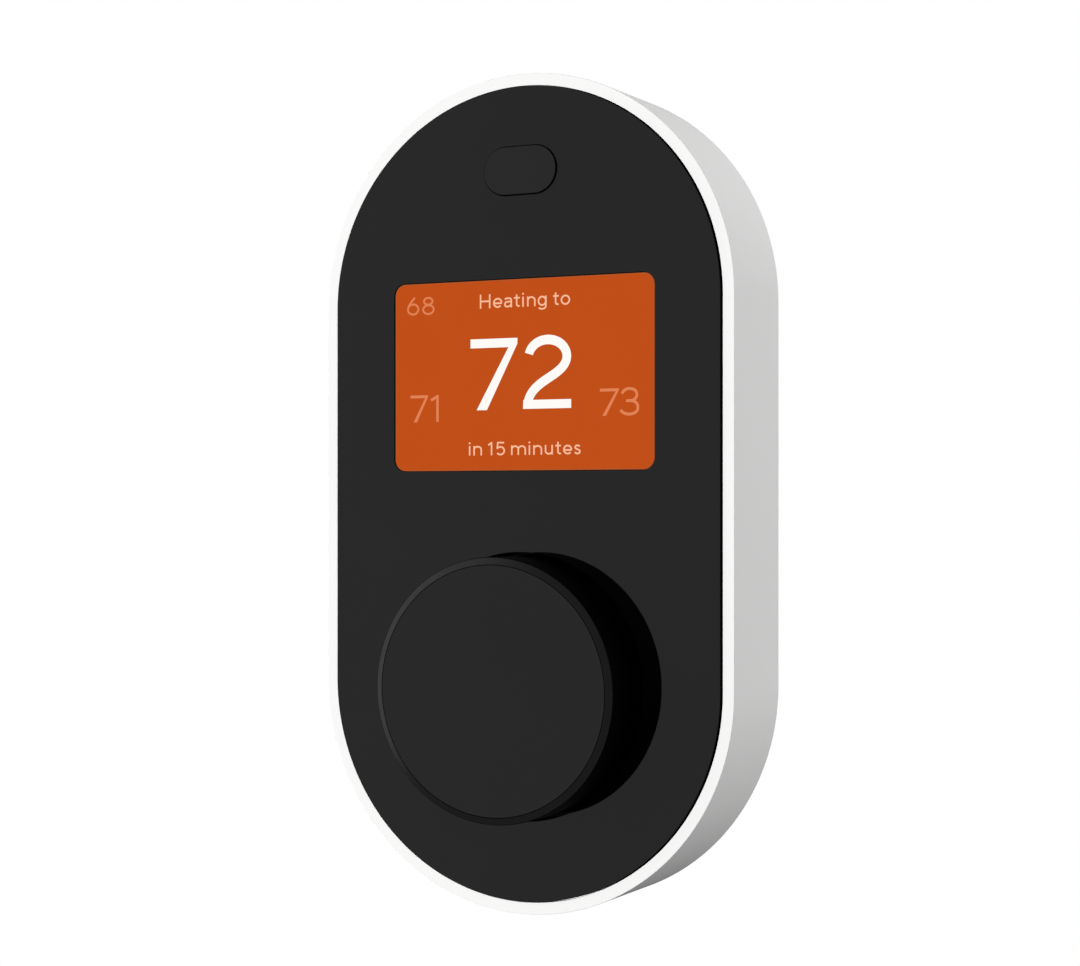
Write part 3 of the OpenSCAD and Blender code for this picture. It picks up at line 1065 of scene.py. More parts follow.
def between(edge: bmesh.types.BMEdge) -> Vector:
    """Returns the middle of an edge."""
    return (edge.verts[0].co + edge.verts[1].co) / 2


def lies_flat(edge: bmesh.types.BMEdge, depth: float) -> bool:
    """Says whether an edge lies in the plane of one depth."""
    return all(abs(-vert.co.y - depth) < 2e-3 for vert in edge.verts)


def is_fold(edge: bmesh.types.BMEdge) -> bool:
    """Says whether the two faces at an edge meet at more than 40 degrees."""
    return len(edge.link_faces) == 2 and edge.calc_face_angle(0.0) > math.radians(40)


# --- Writing on the display ---


class Pen:
    """Draws one stroke as a line of points on the display."""

    def __init__(self, x: float, z: float) -> None:
        """Puts the pen down at a point."""
        self.points: list[Point] = [(x, z)]

    def to(self, x: float, z: float) -> "Pen":
        """Draws a straight line to a point."""
        self.points.append((x, z))
        return self

    def bend(self, first: Point, second: Point, end: Point, steps: int = 14) -> "Pen":
        """Draws a Bezier curve through two handles to an end.

        Args:
            first: the first handle.
            second: the second handle.
            end: where the curve ends.
            steps: how many straight steps it has.

        Returns:
            The pen.
        """
        start = self.points[-1]
        for i in range(1, steps + 1):
            t = i / steps
            a, b, c, d = (1 - t) ** 3, 3 * t * (1 - t) ** 2, 3 * t * t * (1 - t), t**3
            self.points.append(
                tuple(a * start[k] + b * first[k] + c * second[k] + d * end[k] for k in (0, 1))
            )
        return self

    @classmethod
    def arc(
        cls, centre: Point, radii: Point, begin: float, finish: float, steps: int = 28
    ) -> "Pen":
        """Draws part of an ellipse.

        Args:
            centre: its centre.
            radii: its half width and half height.
            begin: the first angle in degrees, from the right, counted upwards.
            finish: the last angle.
            steps: how many straight steps it has.

        Returns:
            The pen, at the last angle.
        """
        pen = cls(0.0, 0.0)
        pen.points = []
        for i in range(steps + 1):
            angle = math.radians(begin + (finish - begin) * i / steps)
            pen.points.append(
                (centre[0] + radii[0] * math.cos(angle), centre[1] + radii[1] * math.sin(angle))
            )
        return pen

    def rails(self, width: float) -> list[list[Point]]:
        """Returns the quads of a ribbon of one width along the stroke.

        Args:
            width: the ribbon's width.

        Returns:
            The four corners of each quad.
        """
        points = self.points
        closed = math.dist(points[0], points[-1]) < 1e-6
        if closed:
            points = points[:-1]
        sides = []
        count = len(points)
        for i, point in enumerate(points):
            before = points[(i - 1) % count] if closed or i else None
            after = points[(i + 1) % count] if closed or i < count - 1 else None
            sides.append(self._mitre(before, point, after, width / 2))
        pairs = [(i, (i + 1) % count) for i in range(count if closed else count - 1)]
        return [[sides[a][0], sides[b][0], sides[b][1], sides[a][1]] for a, b in pairs]

    @staticmethod
    def _mitre(before: Point | None, point: Point, after: Point | None, half: float) -> tuple[Point, Point]:
        """Returns the two rail points at one point of a stroke.

        Args:
            before: the point before, if there is one.
            point: the point.
            after: the point after, if there is one.
            half: half the width of the stroke.

        Returns:
            The rail point to the left and the one to the right.
        """
        ways = []
        if before is not None:
            ways.append((Vector(point) - Vector(before)).normalized())
        if after is not None:
            ways.append((Vector(after) - Vector(point)).normalized())
        along = (ways[0] + ways[-1]).normalized()
        lean = max(along.dot(ways[0]), 0.5)
        out = Vector((-along.y, along.x)) * half / lean
        return (point[0] + out.x, point[1] + out.y), (point[0] - out.x, point[1] - out.y)


@dataclass
class Script:
    """A row of small letters: their heights, and the pen that draws them."""

    base: float
    top: float
    width: float
    shapes: list[list[Point]] = field(default_factory=list)

    @property
    def height(self) -> float:
        """The height of a small letter."""
        return self.top - self.base

    @property
    def low(self) -> float:
        """The middle of a stroke that runs along the base."""
        return self.base + self.width / 2

    @property
    def high(self) -> float:
        """The middle of a stroke that runs along the top."""
        return self.top - self.width / 2

    def draw(self, *pens: Pen) -> None:
        """Adds strokes."""
        for pen in pens:
            self.shapes.extend(pen.rails(self.width))

    def fill(self, *points: Point) -> None:
        """Adds a filled outline."""
        self.shapes.append(list(points))

    def dot(self, x: float, z: float, radius: float) -> None:
        """Adds a round dot."""
        turns = [2 * math.pi * i / 16 for i in range(16)]
        self.fill(*[(x + radius * math.cos(t), z + radius * math.sin(t)) for t in turns])

    def stem(self, x: float, low: float, high: float) -> None:
        """Adds an upright stroke."""
        self.draw(Pen(x, low).to(x, high))

    def arch(self, left: float, right: float) -> None:
        """Adds the arch and right leg of an n or m.

        Args:
            left: where the arch starts.
            right: the right leg.
        """
        spring = self.base + self.height * 0.6
        half = (right - left) / 2
        pen = Pen.arc(((left + right) / 2, spring), (half, self.high - spring), 180, 0)
        self.draw(pen.to(right, self.base))

    def letter_n(self, left: float, *legs: float) -> None:
        """Adds an n, or an m if it has two legs more.

        Args:
            left: the first leg.
            legs: the others.
        """
        self.stem(left, self.base, self.top)
        for first, second in zip((left, *legs), legs):
            self.arch(first, second)

    def letter_u(self, left: float, right: float) -> None:
        """Adds a u.

        Args:
            left: its left leg.
            right: its right leg.
        """
        turn = self.base + self.height * 0.4
        pen = Pen(left, self.top).to(left, turn)
        bowl = Pen.arc(((left + right) / 2, turn), ((right - left) / 2, turn - self.low), 180, 360)
        pen.points += bowl.points[1:]
        self.draw(pen)
        self.stem(right, self.base, self.top)

    def letter_i(self, x: float, dot_z: float) -> None:
        """Adds an i."""
        self.stem(x, self.base, self.top)
        self.dot(x, dot_z, self.width * 0.62)

    def letter_t(self, x: float, head: float, left: float, right: float) -> None:
        """Adds a t, whose bar runs from left to right at the top of the small letters.

        Args:
            x: its stem.
            head: the top of its stem.
            left: the bar's left end.
            right: the bar's right end.
        """
        foot = min(right, x + 0.5)
        pen = Pen(x, head).to(x, self.base + 0.55)
        self.draw(pen.bend((x, self.low + 0.06), (x + 0.18, self.low), (foot, self.low + 0.03)))
        self.draw(Pen(left, self.high).to(right, self.high))

    def letter_o(self, left: float, right: float) -> None:
        """Adds an o."""
        radii = ((right - left - self.width) / 2, (self.height - self.width) / 2)
        self.draw(Pen.arc(((left + right) / 2, (self.base + self.top) / 2), radii, 0, 360))

    def letter_e(self, left: float, right: float) -> None:
        """Adds an e.

        Args:
            left: its left edge.
            right: its right edge.
        """
        middle, centre = (left + right) / 2, (self.base + self.top) / 2
        radii = ((right - left - self.width) / 2, (self.height - self.width) / 2)
        self.draw(Pen.arc((middle, centre), radii, -6, 318))
        bar = centre - 0.06
        self.draw(Pen(left + self.width * 0.6, bar).to(right - self.width * 0.25, bar))

    def letter_a(self, left: float, right: float) -> None:
        """Adds an a with two storeys.

        Args:
            left: its left edge.
            right: its right edge.
        """
        x, step = right - self.width / 2, self.height
        pen = Pen(left + 0.12, self.base + step * 0.80)
        pen.bend((left + 0.3, self.high + 0.02), (left + 0.5, self.high), (left + 0.68, self.high))
        pen.bend((x - 0.1, self.high), (x, self.base + step * 0.85), (x, self.base + step * 0.6))
        self.draw(pen.to(x, self.base))
        waist = self.base + step * 0.57
        bowl = Pen(x, waist).to(left + 0.62, waist)
        edge = left + self.width / 2
        bowl.bend((edge + 0.1, waist), (edge, self.base + step * 0.42), (edge, self.base + step * 0.31))
        bowl.bend((edge, self.low + 0.06), (left + 0.35, self.low), (left + 0.6, self.low))
        bowl.bend((x - 0.25, self.low), (x, self.base + step * 0.25), (x, self.base + step * 0.42))
        self.draw(bowl)

    def letter_g(self, left: float, right: float, drop: float) -> None:
        """Adds a g with one storey, whose tail goes down to drop.

        Args:
            left: its left edge.
            right: its right edge.
            drop: the lowest point.
        """
        x = right - self.width / 2
        middle = (left + x) / 2
        radii = ((x - left - self.width / 2) / 2, (self.height - self.width) / 2)
        self.draw(Pen.arc((middle + self.width / 4, (self.base + self.top) / 2), radii, 0, 360))
        tail = drop + self.width / 2
        pen = Pen(x, self.top).to(x, self.base + 0.05)
        pen.bend((x, tail + 0.1), (x - 0.3, tail), (middle + 0.02, tail))
        self.draw(pen.bend((middle - 0.2, tail), (left + 0.3, tail + 0.08), (left + 0.17, tail + 0.2)))

    def letter_s(self, left: float, right: float) -> None:
        """Adds an s.

        Args:
            left: its left edge.
            right: its right edge.
        """
        x0, x1, step = left + self.width / 2, right - self.width / 2, self.height
        middle, waist = (left + right) / 2, (self.base + self.top) / 2
        pen = Pen(x1 - 0.03, self.high - 0.17)
        pen.bend((x1 - 0.18, self.high), (middle + 0.1, self.high), (middle, self.high))
        pen.bend((x0 + 0.12, self.high), (x0 + 0.02, self.high - step * 0.1), (x0 + 0.03, waist + step * 0.2))
        pen.bend((x0 + 0.05, waist + 0.02), (x1, waist + 0.02), (x1, waist - step * 0.2))
        pen.bend((x1, self.low + step * 0.08), (middle + 0.25, self.low), (middle, self.low))
        pen.bend((middle - 0.15, self.low), (x0 + 0.15, self.low + 0.02), (x0 - 0.02, self.low + 0.22))
        self.draw(pen)

    def one(self, x: float, foot: float, head: float, tip: Point) -> None:
        """Adds a 1 with its flag."""
        self.stem(x, foot, head)
        self.draw(Pen(*tip).to(x, head - self.width * 0.55))

    def seven(self, left: float, right: float, top: float, feet: tuple[float, float, float]) -> None:
        """Adds a 7.

        Args:
            left: its left edge.
            right: its right edge.
            top: its upper edge.
            feet: the left and right ends of its foot, and their height.
        """
        foot_left, foot_right, bottom = feet
        slant = (foot_right - foot_left) * 0.86
        self.fill(
            (left, top),
            (right, top),
            (right, top - self.width * 0.62),
            (foot_right, bottom),
            (foot_left, bottom),
            (right - slant, top - self.width),
            (left, top - self.width),
        )

    def mesh(self, name: str, depth: float, thickness: float, finish: Finish) -> Piece:
        """Makes the writing a thin raised print.

        Args:
            name: the piece's name.
            depth: the depth that it stands on.
            thickness: how far it stands out.
            finish: its ink.

        Returns:
            The piece.
        """
        points: list[tuple[float, float, float]] = []
        faces: list[list[int]] = []
        for shape in self.shapes:
            faces.append(list(range(len(points), len(points) + len(shape))))
            points.extend((x, -depth, z) for x, z in shape)
        mesh = bpy.data.meshes.new(name)
        mesh.from_pydata(points, [], faces)
        piece = Piece(add_object(name, mesh))
        with piece.editing():
            piece.merge(0.002)
            piece.pick_faces(lambda centre, normal: normal.y > 0)
            bpy.ops.mesh.flip_normals()
            bpy.ops.mesh.select_all(action="SELECT")
            bpy.ops.mesh.extrude_region_move(TRANSFORM_OT_translate={"value": (0, -thickness, 0)})
            piece.face_outwards()
        piece.dress(finish)
        return piece


# --- The head ---


@dataclass
class Head:
    """Everything that comes off the wall in one hand, apart from the dial."""

    nodes: dict[str, bpy.types.Object]
    end_radius: float = 34.0
    panel_gap: float = 0.15
    ledge: float = 1.65
    ledge_thickness: float = 1.23
    front_radius: float = 0.12
    inner_radius: float = 0.06
    # Radius, back and front of a screw's post and of the hole in it.
    post: tuple[float, float, float] = (2.6, 12.2, 16.0)
    pilot: tuple[float, float, float] = (0.9, 11.0, 15.6)
    post_reach: float = 28.4
    panel_thickness: float = 1.2
    panel_edge: float = 0.12
    boss_radius: float = 2.0
    boss_reach: float = 23.8
    boss_angles: tuple[int, ...] = (30, 150, 270)
    opening_corner: float = 1.9
    sensor_opening: Point = (12.2, 7.3)
    sensor_lens: Point = (12.0, 7.1)
    flange_front: float = 16.8
    # Left, right, low and high of the picture, from the edges of its glass.
    picture_trim: tuple[float, float, float, float] = (0.12, 0.05, 0.12, -0.08)
    picture_corner: float = 1.75
    picture_edge: float = 0.15
    # Width of the paler edge line, a painted highlight round the picture.
    cover_corner: float = 1.85
    cover_lap: float = 0.04
    window_gap: float = 0.04
    well_gap: float = 0.53
    print_thickness: float = 0.015
    # Half length, half width and depth of the cross in a screw's head.
    screw_cross: tuple[float, float, float] = (1.3, 0.26, 0.55)
    spring_wire: float = 0.4
    spring_turns: float = 5.0
    spring_steps: int = 260
    spring_give: float = 0.5
    capacitor_places: tuple[Point, ...] = ((-25.3, -10.5), (25.3, -10.5), (24.6, -38.0))
    capacitor_radius: float = 2.55
    foot_half: float = 2.6

    def build(self) -> None:
        """Builds every piece of the head."""
        self._housing()
        self._panel()
        self._sensor_window()
        self._display()
        self._writing()
        self._screws()
        self._spring()
        self._capacitors()
        self._board_parts()
        for part in self.refined():
            part.make(self.nodes)

    def _housing(self) -> None:
        """Builds the white housing, open in front and behind, with a ledge for the panel."""
        span = Span.of("housing")
        radius = span.width / 2
        end_z = span.high - self.end_radius
        ledge_front = Span.of("panel_tape").near
        wall = radius - Span.of("front_panel").width / 2 - self.panel_gap
        piece = Piece.tall("housing_shell", radius, span.height - span.width, span.near, span.far)
        with piece.editing():
            piece.pick_front(span.far)
            piece.inset(wall)
            piece.push(ledge_front - span.far)
            piece.inset(self.ledge)
            bpy.ops.mesh.delete(type="FACE")
            piece.pick_back(span.near)
            piece.inset(wall)
            piece.push(ledge_front - self.ledge_thickness - span.near)
            piece.inset(self.ledge)
            bpy.ops.mesh.delete(type="FACE")
            piece.join_loops()

        def outer(edge: bmesh.types.BMEdge) -> bool:
            """Says whether an edge is the outer one of the rim."""
            mid = between(edge)
            away = math.hypot(mid.x, max(abs(mid.z) - end_z, 0.0))
            return lies_flat(edge, span.far) and away > radius - 0.2

        def inner(edge: bmesh.types.BMEdge) -> bool:
            """Says whether an edge is the inner one of the rim, or one at the back."""
            return is_fold(edge) and (lies_flat(edge, span.far) or lies_flat(edge, span.near))

        piece.round_edges(outer, self.front_radius, 3)
        piece.round_edges(inner, self.inner_radius, 2)
        across = self.post_reach * math.cos(math.radians(45))
        for x in (-across, across):
            for z in (-end_z - across, end_z + across):
                piece.combine(Piece.bar("post", *self.post, x, z, 40), Operation.JOIN)
                piece.combine(Piece.bar("pilot", *self.pilot, x, z, 24), Operation.CUT)
        piece.finish(Finishes.WHITE)
        piece.settle(Body.HEAD, "housing_white", "housing")

    def _panel(self) -> None:
        """Builds the black front panel with its three openings."""
        span = Span.of("front_panel")
        near = span.far - self.panel_thickness
        piece = Piece.tall("front_panel_plate", span.width / 2, span.height - span.width, near, span.far)
        opening = self._screen(2 * self.cover_lap, near - 1, span.far + 1)
        piece.combine(Piece.rounded("cut", opening, self.opening_corner, 16), Operation.CUT)
        sensor = Span.of("sensor_window")
        cut = Piece.wide("cut", *self.sensor_opening, near - 1, span.far + 1, sensor.z)
        piece.combine(cut, Operation.CUT)
        dial = Span.of("dial_shell")
        hole = dial.width / 2 + self.well_gap
        cut = Piece.bar("cut", hole, near - 1, span.far + 1, z=dial.z, sides=192)
        piece.combine(cut, Operation.CUT)
        piece.round_front(span.far, self.panel_edge, 3)
        for angle in self.boss_angles:
            x = self.boss_reach * math.cos(math.radians(angle))
            z = dial.z + self.boss_reach * math.sin(math.radians(angle))
            boss = Piece.bar("boss", self.boss_radius, span.near, near + 0.3, x, z, 32)
            piece.combine(boss, Operation.JOIN)
        piece.finish(Finishes.PANEL, Finishes.SIDE_PAINTED_SHADE)
        # The panel's side faces and opening walls take the darker black: painted shade.
        piece.paint_sides(1, 0.5)
        piece.settle(Body.HEAD, "panel_black", "front_panel")

    def _sensor_window(self) -> None:
        """Builds the motion sensor's window, a stud with round ends on a flange."""
        span = Span.of("sensor_window")
        piece = Piece.wide("sensor_lens", *self.sensor_lens, span.near + 0.4, span.far, span.z)
        piece.round_front(span.far, 0.12, 3)
        flange = Piece.wide("flange", span.width, span.height, span.near, self.flange_front, span.z)
        piece.combine(flange, Operation.JOIN)
        piece.finish(Finishes.SENSOR, Finishes.SIDE_PAINTED_SHADE)
        # The sensor window's sides take the darker black: painted shade.
        piece.paint_sides(1, 0.5)
        piece.settle(Body.HEAD, "sensor_black", "sensor_window")

    def _screen(self, lap: float, near: float, far: float) -> Span:
        """Returns the picture's outline, widened by lap all round, between two depths.

        Args:
            lap: how much wider it is.
            near: the depth of the back.
            far: the depth of the front.

        Returns:
            The box.
        """
        glass = Span.of("lcd_glass")
        left, right, low, high = self.picture_trim
        return Span(
            left=glass.left + left - lap,
            right=glass.right + right + lap,
            low=glass.low + low - lap,
            high=glass.high + high + lap,
            near=near,
            far=far,
        )

    def _display(self) -> None:
        """Builds the lit picture and the clear window over it."""
        glass = Span.of("lcd_glass")
        area = self._screen(0.0, glass.near, glass.far)
        picture = Piece.rounded("display_picture", area, self.picture_corner, 16)
        with picture.editing():
            picture.pick_front(glass.far)
            picture.inset(self.picture_edge)
        # The picture's sides and edge ring glow paler, a painted highlight; the middle glows orange.
        picture.finish(Finishes.PICTURE_EDGE_HIGHLIGHT, Finishes.PICTURE)
        picture.paint(
            1,
            lambda centre, normal: normal.y < -0.9 and abs(centre.x) < 5 and abs(centre.z - glass.z) < 5,
        )
        picture.settle(Body.HEAD, "display_orange", "lcd_glass")
        span = Span.of("display_window")
        cover = self._screen(self.cover_lap, glass.far + self.window_gap, span.far)
        window = Piece.rounded("display_cover", cover, self.cover_corner, 16)
        window.round_front(span.far, 0.08, 2)
        window.finish(Finishes.WINDOW, Finishes.WINDOW_EDGE)
        window.paint_sides(1, 0.9)
        window.settle(Body.HEAD, "window_clear", "display_window")

    def _writing(self) -> None:
        """Puts the numbers and the plain status words on the picture."""
        depth = Span.of("lcd_glass").far

        def put(script: Script, name: str, finish: Finish) -> None:
            """Makes one row of writing and hands it over."""
            piece = script.mesh(name, depth, self.print_thickness, finish)
            piece.settle(Body.HEAD, "display_orange")

        big = Script(12.6, 23.5, 1.4)
        big.fill((-8.55, 23.2), (-0.6, 23.2), (-0.6, 22.35), (-5.75, 12.55), (-7.5, 12.55),
                 (-2.1, 21.85), (-8.55, 21.85))
        two = Pen.arc((4.45, 20.25), (3.16, 2.52), 169, 0, 40)
        two.bend((7.6, 18.9), (6.3, 18.05), (4.6, 17.1), 20)
        big.draw(two.bend((2.6, 16.0), (1.35, 15.0), (1.1, 13.25), 20))
        big.fill((0.35, 12.6), (8.32, 12.6), (8.32, 13.92), (0.4, 13.92))
        put(big, "number_aim", Finishes.NUMBER)

        words = Script(27.76, 29.26, 0.25)
        words.stem(-6.83, 27.76, 29.85)
        words.stem(-5.28, 27.76, 29.85)
        words.draw(Pen(-6.83, 28.82).to(-5.28, 28.82))
        words.letter_e(-4.70, -3.14)
        words.letter_a(-2.82, -1.50)
        words.letter_t(-0.72, 29.64, -1.18, -0.20)
        words.letter_i(0.35, 29.68)
        words.letter_n(1.15, 2.32)
        words.letter_g(2.80, 4.27, 27.2)
        words.letter_t(5.76, 29.64, 5.35, 6.28)
        words.letter_o(6.60, 8.16)
        put(words, "words_above", Finishes.WORDS)

        words = Script(5.78, 7.22, 0.25)
        words.letter_i(-8.70, 7.62)
        words.letter_n(-7.94, -6.72)
        words.one(-4.96, 5.78, 7.78, (-5.52, 7.30))
        five = Pen(-2.84, 7.66).to(-3.90, 7.66).to(-4.0, 6.85)
        five.points += Pen.arc((-3.46, 6.45), (0.65, 0.57), 135, -145).points
        words.draw(five)
        words.letter_n(-1.54, -0.44, 0.72)
        words.letter_i(1.42, 7.62)
        words.letter_n(2.18, 3.41)
        words.letter_u(4.10, 5.19)
        words.letter_t(6.15, 7.66, 5.73, 6.64)
        words.letter_e(7.0, 8.48)
        words.letter_s(8.83, 9.88)
        put(words, "words_below", Finishes.WORDS)

        small = Script(27.18, 29.9, 0.3)
        small.draw(Pen.arc((-18.53, 28.1), (0.92, 0.77), 0, 360))
        small.draw(Pen(-18.22, 29.88).bend((-18.9, 29.2), (-19.4, 28.7), (-19.44, 28.1)))
        small.draw(Pen.arc((-15.88, 29.24), (0.74, 0.51), 0, 360))
        small.draw(Pen.arc((-15.85, 27.98), (0.92, 0.67), 0, 360))
        put(small, "number_now", Finishes.FAINT)

        side = Script(10.95, 15.0, 0.42)
        side.seven(-19.0, -15.93, 15.0, (-18.43, -17.86, 10.92))
        side.one(-14.27, 10.95, 15.0, (-15.40, 14.22))
        put(side, "number_below", Finishes.FAINT)

        side = Script(11.34, 15.3, 0.42)
        side.seven(13.0, 16.05, 15.3, (13.4, 13.98, 11.34))
        three = Pen(16.55, 14.5).bend((16.8, 15.05), (17.3, 15.22), (17.72, 15.22))
        three.bend((18.5, 15.22), (18.93, 14.85), (18.93, 14.35))
        three.bend((18.93, 13.75), (18.4, 13.47), (17.8, 13.47))
        side.draw(three.to(17.22, 13.47))
        three = Pen(17.5, 13.47).to(17.85, 13.47).bend((18.65, 13.47), (19.1, 13.05), (19.1, 12.45))
        three.bend((19.1, 11.85), (18.5, 11.52), (17.75, 11.52))
        side.draw(three.bend((17.1, 11.52), (16.6, 11.75), (16.32, 12.15)))
        put(side, "number_above", Finishes.FAINT)

    def _screws(self) -> None:
        """Builds the cross-headed screws of the back cover and of the dial's well."""
        kinds = (("case_screws", "case_screws", False), ("dial_base_screws", "well_screws", True))
        for node, name, head_up in kinds:
            copy = Piece.copy_of(self.nodes[node], name)
            copy.soften(0.12)
            centres = self._centres(copy)
            span = Span.of(node)
            depth = span.far if head_up else span.near
            reach, half, deep = self.screw_cross
            for centre in centres:
                copy.cut_cross(centre, reach, half, depth - deep, depth + deep)
            copy.finish(Finishes.SCREW)
            copy.settle(Body.HEAD, "screw_steel", node)

    @staticmethod
    def _centres(piece: Piece) -> list[Point]:
        """Returns the middle of each separate solid of a piece, seen from the front.

        Args:
            piece: the piece.

        Returns:
            The middles, from left to right.
        """
        mesh = bmesh.new()
        mesh.from_mesh(piece.obj.data)
        left = set(mesh.verts)
        found = []
        while left:
            island, edge_of = set(), [left.pop()]
            while edge_of:
                vert = edge_of.pop()
                island.add(vert)
                near = {edge.other_vert(vert) for edge in vert.link_edges} & left
                left -= near
                edge_of.extend(near)
            xs, zs = [v.co.x for v in island], [v.co.z for v in island]
            found.append(((min(xs) + max(xs)) / 2, (min(zs) + max(zs)) / 2))
        mesh.free()
        return sorted(found)

    def _spring(self) -> None:
        """Builds the dial's return spring as a smooth coil of round wire with flat ends."""
        span = Span.of("return_spring")
        wire, steps = self.spring_wire, self.spring_steps
        radius = span.width / 2 - wire
        length = span.far - span.near - 2 * wire
        curve = bpy.data.curves.new("return_coil", "CURVE")
        curve.dimensions = "3D"
        curve.bevel_depth = wire
        curve.bevel_resolution = 3
        curve.use_fill_caps = True
        spline = curve.splines.new("POLY")
        spline.points.add(steps)
        for i in range(steps + 1):
            share = i / steps
            eased = min(1.0, max(0.0, (share - 0.1) / 0.8))
            angle = 2 * math.pi * self.spring_turns * share
            depth = span.near + wire + length * eased
            place = (radius * math.cos(angle), -depth, span.z + radius * math.sin(angle), 1.0)
            spline.points[i].co = place
        Piece(add_object("return_coil", curve)).focus()
        bpy.ops.object.convert(target="MESH")
        piece = Piece(bpy.context.object)
        with piece.editing():
            piece.merge()
        piece.finish(Finishes.SPRING, angle=60)
        done = piece.settle(Body.HEAD, "spring_steel", "return_spring")
        keep = 1 - self.spring_give / (span.far - span.near)
        -span.near * MM
        span.z * MM
        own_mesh(done)

    def _capacitors(self) -> None:
        """Builds the board's round capacitors with a crimp and a scored top."""
        span = Span.of("capacitors")
        piece: Piece | None = None
        for centre in self.capacitor_places:
            can = Piece.bar("can", self.capacitor_radius, span.near + 0.4, span.far, *centre, 48)
            with can.editing():
                can.pick_front(span.far)
                can.inset(0.35)
                can.push(-0.12)
            can.round_edges(is_fold, 0.1, 2)
            can.cut_cross(centre, 1.5, 0.09, span.far - 0.25, span.far + 0.3)
            half = self.foot_half
            foot = Piece.about("foot", centre, half, half, span.near, span.near + 0.6)
            foot.soften(0.15)
            can.combine(foot, Operation.JOIN)
            if piece is None:
                piece = can
                piece.obj.name = piece.obj.data.name = "capacitor_cans"
            else:
                piece.combine(can, Operation.JOIN)
        piece.finish(Finishes.CAPACITOR)
        piece.settle(Body.HEAD, "capacitor_metal", "capacitors")

    def _board_parts(self) -> None:
        """Sets small chip parts in rows on the clear top of the board."""
        front = Span.of("main_board").far
        places = [(-12.0 + column * 3.0, row) for column in range(9) for row in range(3)]
        piece: Piece | None = None
        for x, row in places:
            wide, high = (0.5, 0.28) if row == 1 else (0.32, 0.5)
            chip = Piece.about("chip", (x, 36.2 + row * 1.7), wide, high, front - 0.02, front + 0.34)
            chip.soften(0.05, 1)
            if piece is None:
                piece = chip
                piece.obj.name = piece.obj.data.name = "board_chips"
            else:
                piece.focus()
                chip.obj.select_set(True)
                bpy.ops.object.join()
        piece.finish(Finishes.CHIP)
        piece.settle(Body.HEAD, "chip_black")

    @staticmethod
    def refined() -> list[Refined]:
        """Returns the parts of the head that keep their CAD shape.

        Returns:
            The parts.
        """
        head, carrier = Body.HEAD, Body.CARRIER
        return [
            Refined("tape_frame", "panel_tape", head, "tape_black", Finishes.TAPE, 0.03),
            Refined("rear_glass", "lcd_rear_glass", head, "glass_grey", Finishes.GLASS, 0.06),
            Refined("diffuser_sheet", "diffuser", head, "diffuser_white", Finishes.DIFFUSER, 0.05),
            Refined("light_plate", "light_guide", head, "guide_clear", Finishes.GUIDE, 0.1),
            Refined("display_frame", "lcd_frame", head, "frame_white", Finishes.FRAME, 0.2),
            Refined("light_strip", "backlight_leds", head, "led_cream", Finishes.LED, 0.05),
            Refined("display_ribbon", "lcd_ribbon", head, "ribbon_amber", Finishes.RIBBON, 0.04),
            Refined("ribbon_connector", "lcd_connector", head, "connector_cream", Finishes.CONNECTOR, 0.1),
            Refined("sensor_can", "pir_sensor", head, "can_metal", Finishes.CAN, 0.15),
            Refined("board", "main_board", head, "board_green", Finishes.BOARD, 0.08),
            Refined("processor_chip", "processor", head, "chip_black", Finishes.CHIP, 0.1),
            Refined("radio_shield", "wifi_module", head, "shield_metal", Finishes.SHIELD, 0.12),
            Refined("relay_cases", "relays", head, "relay_blue", Finishes.RELAY, 0.2),
            Refined("board_pins", "header_pins", head, "pin_gold", Finishes.PINS, 0.08),
            Refined("turn_sensors", "hall_sensors", head, "chip_black", Finishes.CHIP, 0.05),
            Refined("room_sensor", "climate_sensor", head, "plug_white", Finishes.PLUG, 0.08),
            Refined("select_switch", "tact_switch", head, "switch_grey", Finishes.SWITCH, 0.12),
            # The well takes the darker unreflective black: painted shade in the recess.
            Refined("dial_well", "dial_base", head, "well_black", Finishes.WELL_PAINTED_SHADE, 0.12),
            Refined("rear_cover", "back_cover", head, "cover_grey", Finishes.COVER, 0.2),
            Refined("select_plunger", "switch_plunger", Body.PLUNGER, "plunger_cream", Finishes.ACETAL, 0.12),
            Refined("dial_slider", "dial_carrier", carrier, "carrier_grey", Finishes.CARRIER, 0.1),
            Refined("click_spring", "detent_spring", carrier, "leaf_bronze", Finishes.BRONZE, 0.06),
            Refined("snap_ring", "retaining_clip", carrier, "spring_steel", Finishes.SPRING, 0.08),
        ]


# --- The dial ---


